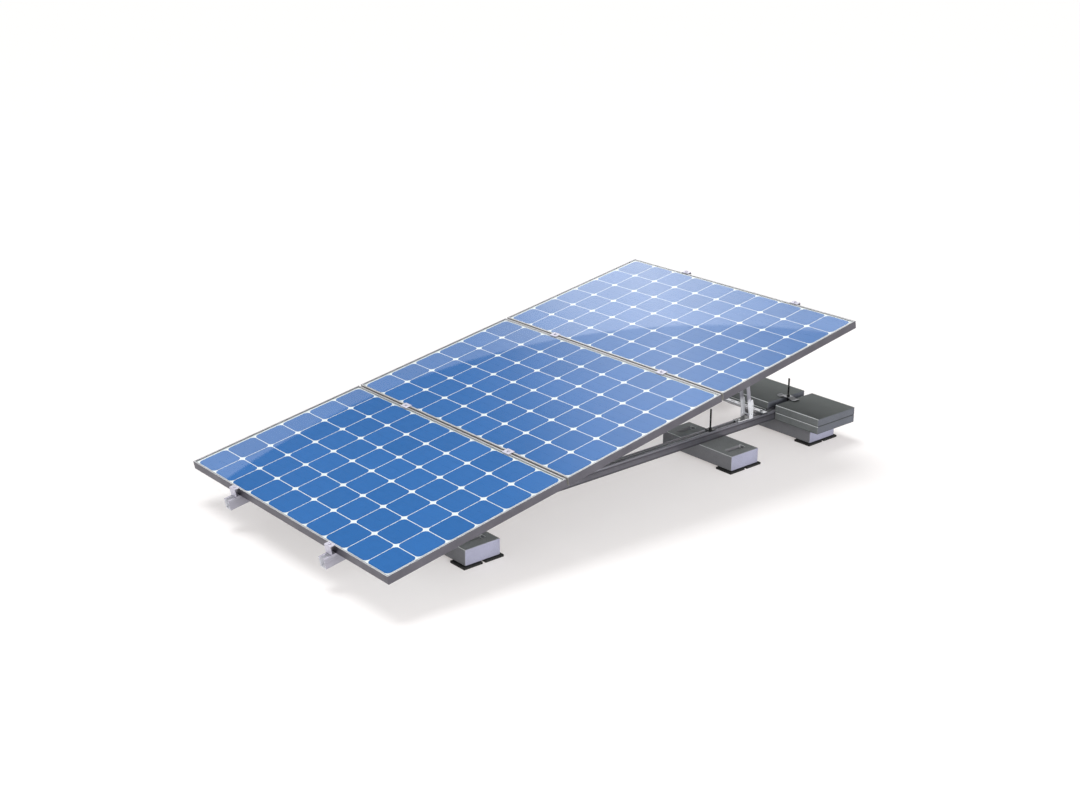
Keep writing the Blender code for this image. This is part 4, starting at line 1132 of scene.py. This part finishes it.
def add_slabs():
    for layer in ("lower", "upper"):
        for side in SIDES:
            for half in ("inner", "outer"):
                node = "slab_%s_%s_%s" % (layer, side, half)
                size = [b - a for a, b in zip(*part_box(node))]
                mesh = bevelled(box_mesh(size), SLAB_EDGE, 3)
                add_piece(node + "_stone", mesh, at(*centre_of(node)), (SLAB_STONE,), [node])


# Rods and hold-down plates

def add_rods():
    base = BASE_RAIL_TOP + SEAT_GAP
    under = BLOCK_BOTTOM - SEAT_GAP - LOWER_WASHER_HEIGHT
    hole = cylinder_mesh(ROD_RADIUS, -CUT_THROUGH, CUT_THROUGH)
    square = bevelled(combined(box_mesh(SQUARE_WASHER, SQUARE_WASHER[2] / 2), hole), FINE_EDGE, 2, 50.0)
    nut = hexagon_mesh(NUT_RADIUS, 0.0, NUT_HEIGHT)
    fittings = [
        (square, at(z=base), 0),
        (nut, at(z=base + SQUARE_WASHER[2]), 0),
        (washer_mesh(LOWER_WASHER_RADIUS, ROD_RADIUS, under, under + LOWER_WASHER_HEIGHT), IDENTITY, 0),
        (hexagon_mesh(NUT_RADIUS, under - LOWER_NUT_HEIGHT, under), IDENTITY, 0),
    ]
    for name in MODULE_NAMES:
        for side in SIDES:
            node = "rod_%s_%s" % (name, side)
            low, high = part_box(node)
            parts = [(thread_mesh(ROD_RADIUS, low[2], high[2]), IDENTITY, 0)] + fittings
            if name == "rear":
                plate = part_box("wing_plate_" + side)[0][2]
                parts.append((nut, at(z=plate + WING_RISE + WING_THICKNESS + SEAT_GAP), 0))
            x, y, _ = centre_of(node)
            add_piece(node + "_set", merged(parts), at(x, y), (BLACK_METAL,), [node])


def wing_mesh():
    """A pressed plate across the gap: tips up, feet down, raised centre, rounded in plan."""
    half = WING_THICKNESS / 2
    right = [
        (WING_CENTRE / 2, WING_RISE + half), (WING_TOUCH / 2, half), (WING_SPAN / 2, WING_TIP_RISE + half),
    ]
    path = [(-x, z) for x, z in reversed(right)] + right
    plate = strip_mesh(path, WING_THICKNESS, WING_BEND, WING_DEPTH, LENGTHWISE)
    plate = combined(plate, plate_mesh(WING_SPAN, WING_DEPTH, WING_CORNER, 6, CUT_THROUGH), "INTERSECT")
    plate = combined(plate, cylinder_mesh(ROD_HOLE, -CUT_THROUGH, CUT_THROUGH))
    return bevelled(plate, METAL_EDGE, 2, 50.0)


def add_wing_plates():
    plate = wing_mesh()
    for side in SIDES:
        node = "wing_plate_" + side
        x, y, _ = centre_of(node)
        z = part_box(node)[0][2]
        add_piece(node + "_pressed", plate.copy(), at(x, y, z), (PRESSED_METAL,), [node])


# Legs, brackets and brace

def leg_mesh(length):
    """A flat bar with round ends, drawn along Y with a bolt hole at each end."""
    end = LEG_WIDTH / 2
    outline = arc((0.0, length), end, 0.0, 180.0, 20) + arc((0.0, 0.0), end, 180.0, 360.0, 20)
    mesh = outline_mesh([outline] + [circle((0.0, y), BOLT_HOLE) for y in (0.0, length)], LEG_THICKNESS)
    mesh.transform(CROSSWISE)
    return bevelled(mesh, METAL_EDGE, 2, 60.0)


def foot_bolt_place(side):
    """The foot's cross bolt, in the world: above the foot bracket's floor."""
    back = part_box("foot_bracket_" + side)[1][1]
    return Vector((SIDES[side], back - EAR_WIDTH / 2, BASE_RAIL_TOP + FOOT_BOLT_RISE))


def add_legs():
    head = -RAIL_HEIGHT - HEAD_BOLT_DROP
    for side, x in SIDES.items():
        foot = (SLOPE.inverted() @ foot_bolt_place(side)).z
        for half, shift in (("inner", -1), ("outer", 1)):
            offset = shift * LEG_SPACING / 2 * (1 if side == "right" else -1)
            node = "rear_leg_%s_%s" % (side, half)
            place = SLOPE @ at(x + offset, LEG_PLACE, foot)
            add_piece(node + "_bar", leg_mesh(head - foot), place, (LEG_METAL,), [node])


def bracket_mesh(inside, height, width, taper, pivot):
    """A folded U with a rounded, tapered ear at each side and a hole across both."""
    middle, floor = inside + BRACKET_THICKNESS / 2, BRACKET_THICKNESS / 2
    path = [(-middle, height), (-middle, floor), (middle, floor), (middle, height)]
    folded = strip_mesh(path, BRACKET_THICKNESS, BRACKET_BEND, width, LENGTHWISE)
    half = width / 2
    low, shoulder = -2 * BRACKET_BEND, height - 2 * taper
    side = [(-half, low), (half, low), (half, shoulder), (half - taper / 2, height)]
    side += [(taper / 2 - half, height), (-half, shoulder)]
    ears = outline_mesh([rounded(side, EAR_CORNER, 6)], 8 * inside)
    ears.transform(CROSSWISE)
    hole = cylinder_mesh(BOLT_HOLE, -2 * middle, 2 * middle)
    hole.transform(at(z=pivot) @ SIDEWAYS)
    return bevelled(combined(combined(folded, ears, "INTERSECT"), hole), METAL_EDGE, 2, 50.0)


def add_bracket(node, place, parts, metal):
    # The third slot, the foot's tongue, takes the near-black plate metal: painted shade
    metals = (metal, BOLT_METAL, PLATE_METAL)
    add_piece(node + "_set", merged(parts), place, metals, [node])


def add_foot_brackets():
    pivot = FOOT_BOLT_RISE - SEAT_GAP
    folded = bracket_mesh(EAR_INSIDE, FOOT_EAR_HEIGHT, EAR_WIDTH, FOOT_EAR_TAPER, pivot)
    start, end = EAR_WIDTH / 2, FOOT_PLATE_REACH
    outline = rounded(rectangle(RAIL_WIDTH, end - start, (0.0, -(start + end) / 2)), FOOT_PLATE_CORNER, 5)
    tongue = outline_mesh([outline, circle((0.0, -FOOT_PLATE_BOLT), BOLT_HOLE)], BRACKET_THICKNESS)
    tongue.transform(at(z=BRACKET_THICKNESS / 2))
    tongue = bevelled(tongue, METAL_EDGE, 2, 50.0)
    parts = [(folded, IDENTITY, 0), (tongue, IDENTITY, 2)] + cross_bolt(pivot, EAR_INSIDE)
    parts += channel_bolt(0.0, -FOOT_PLATE_BOLT, BRACKET_THICKNESS, -SEAT_GAP, HEX_HEAD)
    for side in SIDES:
        place = foot_bolt_place(side)
        place.z -= pivot
        add_bracket("foot_bracket_" + side, Matrix.Translation(place), parts, BRIGHT_METAL)


def add_head_brackets():
    """The same folded U upside down under the sloping rail, bolted up through its floor."""
    pivot = HEAD_BOLT_DROP - SEAT_GAP
    body = bracket_mesh(EAR_INSIDE, HEAD_BOLT_DROP + HEAD_EAR_BELOW_BOLT, EAR_WIDTH, HEAD_EAR_TAPER, pivot)
    nut_top = -(SEAT_GAP + RAIL_WALL + SEAT_GAP)
    shaft = thread_mesh(BOLT_RADIUS, nut_top - NUT_HEIGHT - BOLT_END, BRACKET_THICKNESS / 2)
    nut = hexagon_mesh(BOLT_HEAD_RADIUS, nut_top - NUT_HEIGHT, nut_top)
    parts = [(body, IDENTITY, 0), (shaft, IDENTITY, 1), (nut, IDENTITY, 1)] + cross_bolt(pivot, EAR_INSIDE)
    for side, x in SIDES.items():
        place = SLOPE @ at(x, LEG_PLACE, -RAIL_HEIGHT - SEAT_GAP) @ turned(180.0, "Y")
        add_bracket("head_bracket_" + side, place, parts, BRIGHT_METAL)


def add_front_brackets():
    inside = RAIL_WIDTH / 2 + SEAT_GAP
    base = BASE_RAIL_TOP + SEAT_GAP
    for side, x in SIDES.items():
        node = "front_bracket_" + side
        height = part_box(node)[1][2] - base
        pivot = height - FRONT_EAR_ABOVE_BOLT
        body = bracket_mesh(inside, height, FRONT_EAR_WIDTH, FOOT_EAR_TAPER, pivot)
        parts = [(body, IDENTITY, 0)] + cross_bolt(pivot, inside)
        parts += channel_bolt(0.0, 0.0, BRACKET_THICKNESS, -SEAT_GAP, HEX_HEAD)
        add_bracket(node, at(x, centre_of(node)[1], base), parts, PRESSED_METAL)


def add_cross_brace():
    """A slotted channel lying across both base rails, open downwards."""
    half, wall = BRACE_WIDTH / 2 - BRACE_WALL / 2, BRACE_WALL / 2
    path = [(-half, -BRACE_HEIGHT), (-half, -wall), (half, -wall), (half, -BRACE_HEIGHT)]
    channel = strip_mesh(path, BRACE_WALL, BRACE_BEND, BRACE_LENGTH, CROSSWISE)
    slot = slot_mesh(BRACE_SLOT, BRACE_WALL)
    first = -(BRACE_SLOT_COUNT - 1) / 2 * BRACE_SLOT_PITCH
    slots = merged([(slot, at(first + i * BRACE_SLOT_PITCH), 0) for i in range(BRACE_SLOT_COUNT)])
    parts = [(bevelled(combined(channel, slots), BRACE_EDGE, 2, 50.0), IDENTITY, 0)]
    for shift in SIDES.values():
        parts += channel_bolt(shift, 0.0, 0.0, -BRACE_HEIGHT - SEAT_GAP, HEX_HEAD)
    place = at(0.0, centre_of("cross_brace")[1], BASE_RAIL_TOP + SEAT_GAP + BRACE_HEIGHT)
    add_bracket("cross_brace", place, parts, BRACE_METAL)


# Camera, light and stage

def aim(thing, place, direction):
    thing.location = place
    thing.rotation_euler = direction.to_track_quat("-Z", "Y").to_euler()


def add_camera():
    data = bpy.data.cameras.new("camera")
    data.lens = CAMERA_LENS
    data.sensor_width = CAMERA_SENSOR
    camera = linked("camera", data, STAGE)
    aim(camera, CAMERA_PLACE, CAMERA_AIM)
    bpy.context.scene.camera = camera


def add_lamps():
    for name, kind, place, target, energy, settings in LAMPS:
        data = bpy.data.lights.new(name, kind)
        data.energy = energy
        if kind == "AREA":
            data.shape = "RECTANGLE"
        for key, value in settings.items():
            setattr(data, key, value)
        aim(linked(name, data, STAGE), place, Vector(target) - Vector(place))


def seen_rays(nodes):
    """The camera's rays, and with them the glossy and transmission ones: one there, zero elsewhere."""
    rays = nodes.node("LightPath").outputs
    seen = nodes.maths("MAXIMUM", rays["Is Camera Ray"], rays["Is Glossy Ray"])
    return rays["Is Camera Ray"], nodes.maths("MAXIMUM", seen, rays["Is Transmission Ray"])


def set_world():
    """White where the camera looks, a sky that darkens upwards in reflections, even fill light."""
    world = bpy.data.worlds.new("studio")
    bpy.context.scene.world = world
    studio = Nodes(world)
    studio.tree.nodes.clear()
    camera_rays, seen = seen_rays(studio)
    sky = studio.spread(studio.axes("Generated")[2], 0.0, SKY_FADE, SKY_HORIZON, SKY_OVERHEAD)
    level = studio.node("Mix", {0: camera_rays, 2: sky, 3: 1.0}).outputs[0]
    fill, shown = [
        studio.node("Background", {"Color": WHITE, "Strength": strength}).outputs[0]
        for strength in (FILL_LIGHT, level)
    ]
    studio.node("OutputWorld", {"Surface": studio.either(seen, fill, shown)})


def floor_finish():
    """Pale floor that keeps the object's shadow and meets the white background."""
    floor = Finish("floor", 1.0, Base_Color=FLOOR_PAINT, Specular_IOR_Level=0.0)
    shadowed = floor.node("BsdfDiffuse", {"Color": FLOOR_SHARE}).outputs[0]
    glow = floor.node("Emission", {"Color": FLOOR_GLOW}).outputs[0]
    lit = floor.node("AddShader", {0: shadowed, 1: glow}).outputs[0]
    surface = floor.either(seen_rays(floor)[1], floor.shader.outputs[0], lit)
    floor.feed(floor.tree.nodes["Material Output"], "Surface", surface)
    return floor.material


def add_floor():
    bm = bmesh.new()
    bmesh.ops.create_circle(bm, cap_ends=True, segments=96, radius=FLOOR_RADIUS)
    mesh = mesh_from(bm, "floor")
    mesh.materials.append(floor_finish())
    floor = linked("floor", mesh, STAGE)


def card_ramp(card, share, stops):
    """Brightness across the card, from stops of place and level."""
    ramp = card.node("ValToRGB", {0: share})
    elements = ramp.color_ramp.elements
    while len(elements) < len(stops):
        elements.new(0.5)
    for element, (place, level) in zip(elements, stops):
        element.position = place / CARD_SIZE[0] + 0.5
        element.color = grey(level / CARD_BRIGHTEST)
    return ramp.outputs[0]


def card_finish():
    """A sky for the glass to mirror: two soft ramps across, parted by a curve, clear at the edges."""
    material = bpy.data.materials.new("card")
    card = Nodes(material)
    card.tree.nodes.clear()
    axes = card.axes("Object")
    half = [side / 2 for side in CARD_SIZE]
    point = card.node("TexCoord").outputs["Object"]
    radius = card.node("VectorMath", {0: point, 1: CARD_ARC_CENTRE}, operation="DISTANCE").outputs["Value"]
    beyond = card.spread(radius, CARD_ARC_RADIUS - CARD_ARC_BLUR, CARD_ARC_RADIUS + CARD_ARC_BLUR)
    share = card.spread(axes[0], -half[0], half[0])
    level = card.blend(beyond, *(card_ramp(card, share, stops) for stops in (CARD_INSIDE, CARD_BEYOND)))
    glow = card.node("Emission", {"Color": level, "Strength": CARD_STRENGTH}).outputs[0]
    solid = card.maths("MULTIPLY", *(
        card.spread(card.maths("ABSOLUTE", axis), start, end, 1.0, 0.0, interpolation_type="SMOOTHSTEP")
        for axis, start, end in zip(axes, CARD_FADES_FROM, half)
    ))
    clear = card.node("BsdfTransparent").outputs[0]
    card.node("OutputMaterial", {"Surface": card.either(solid, clear, glow)})
    return material


def add_card():
    """A card behind the mount, seen by glossy rays alone."""
    bm = bmesh.new()
    bm.faces.new([bm.verts.new((x, y, 0.0)) for x, y in rectangle(*CARD_SIZE)])
    mesh = mesh_from(bm, "card")
    mesh.materials.append(card_finish())
    card = linked("card", mesh, STAGE)
    turn = Matrix((CARD_ACROSS, CARD_UP, CARD_ACROSS.cross(CARD_UP))).transposed().to_4x4()
    card.matrix_world = Matrix.Translation(CARD_PLACE) @ turn
    card.visible_camera = False
    card.visible_diffuse = False
    card.visible_shadow = False
    card.visible_transmission = False


bpy.context.scene.view_settings.view_transform = "Standard"
add_camera()
set_world()
add_lamps()
add_floor()
add_card()
add_modules()
add_rails()
add_clamps()
add_blocks()
add_slabs()
add_rods()
add_wing_plates()
add_legs()
add_foot_brackets()
add_head_brackets()
add_front_brackets()
add_cross_brace()
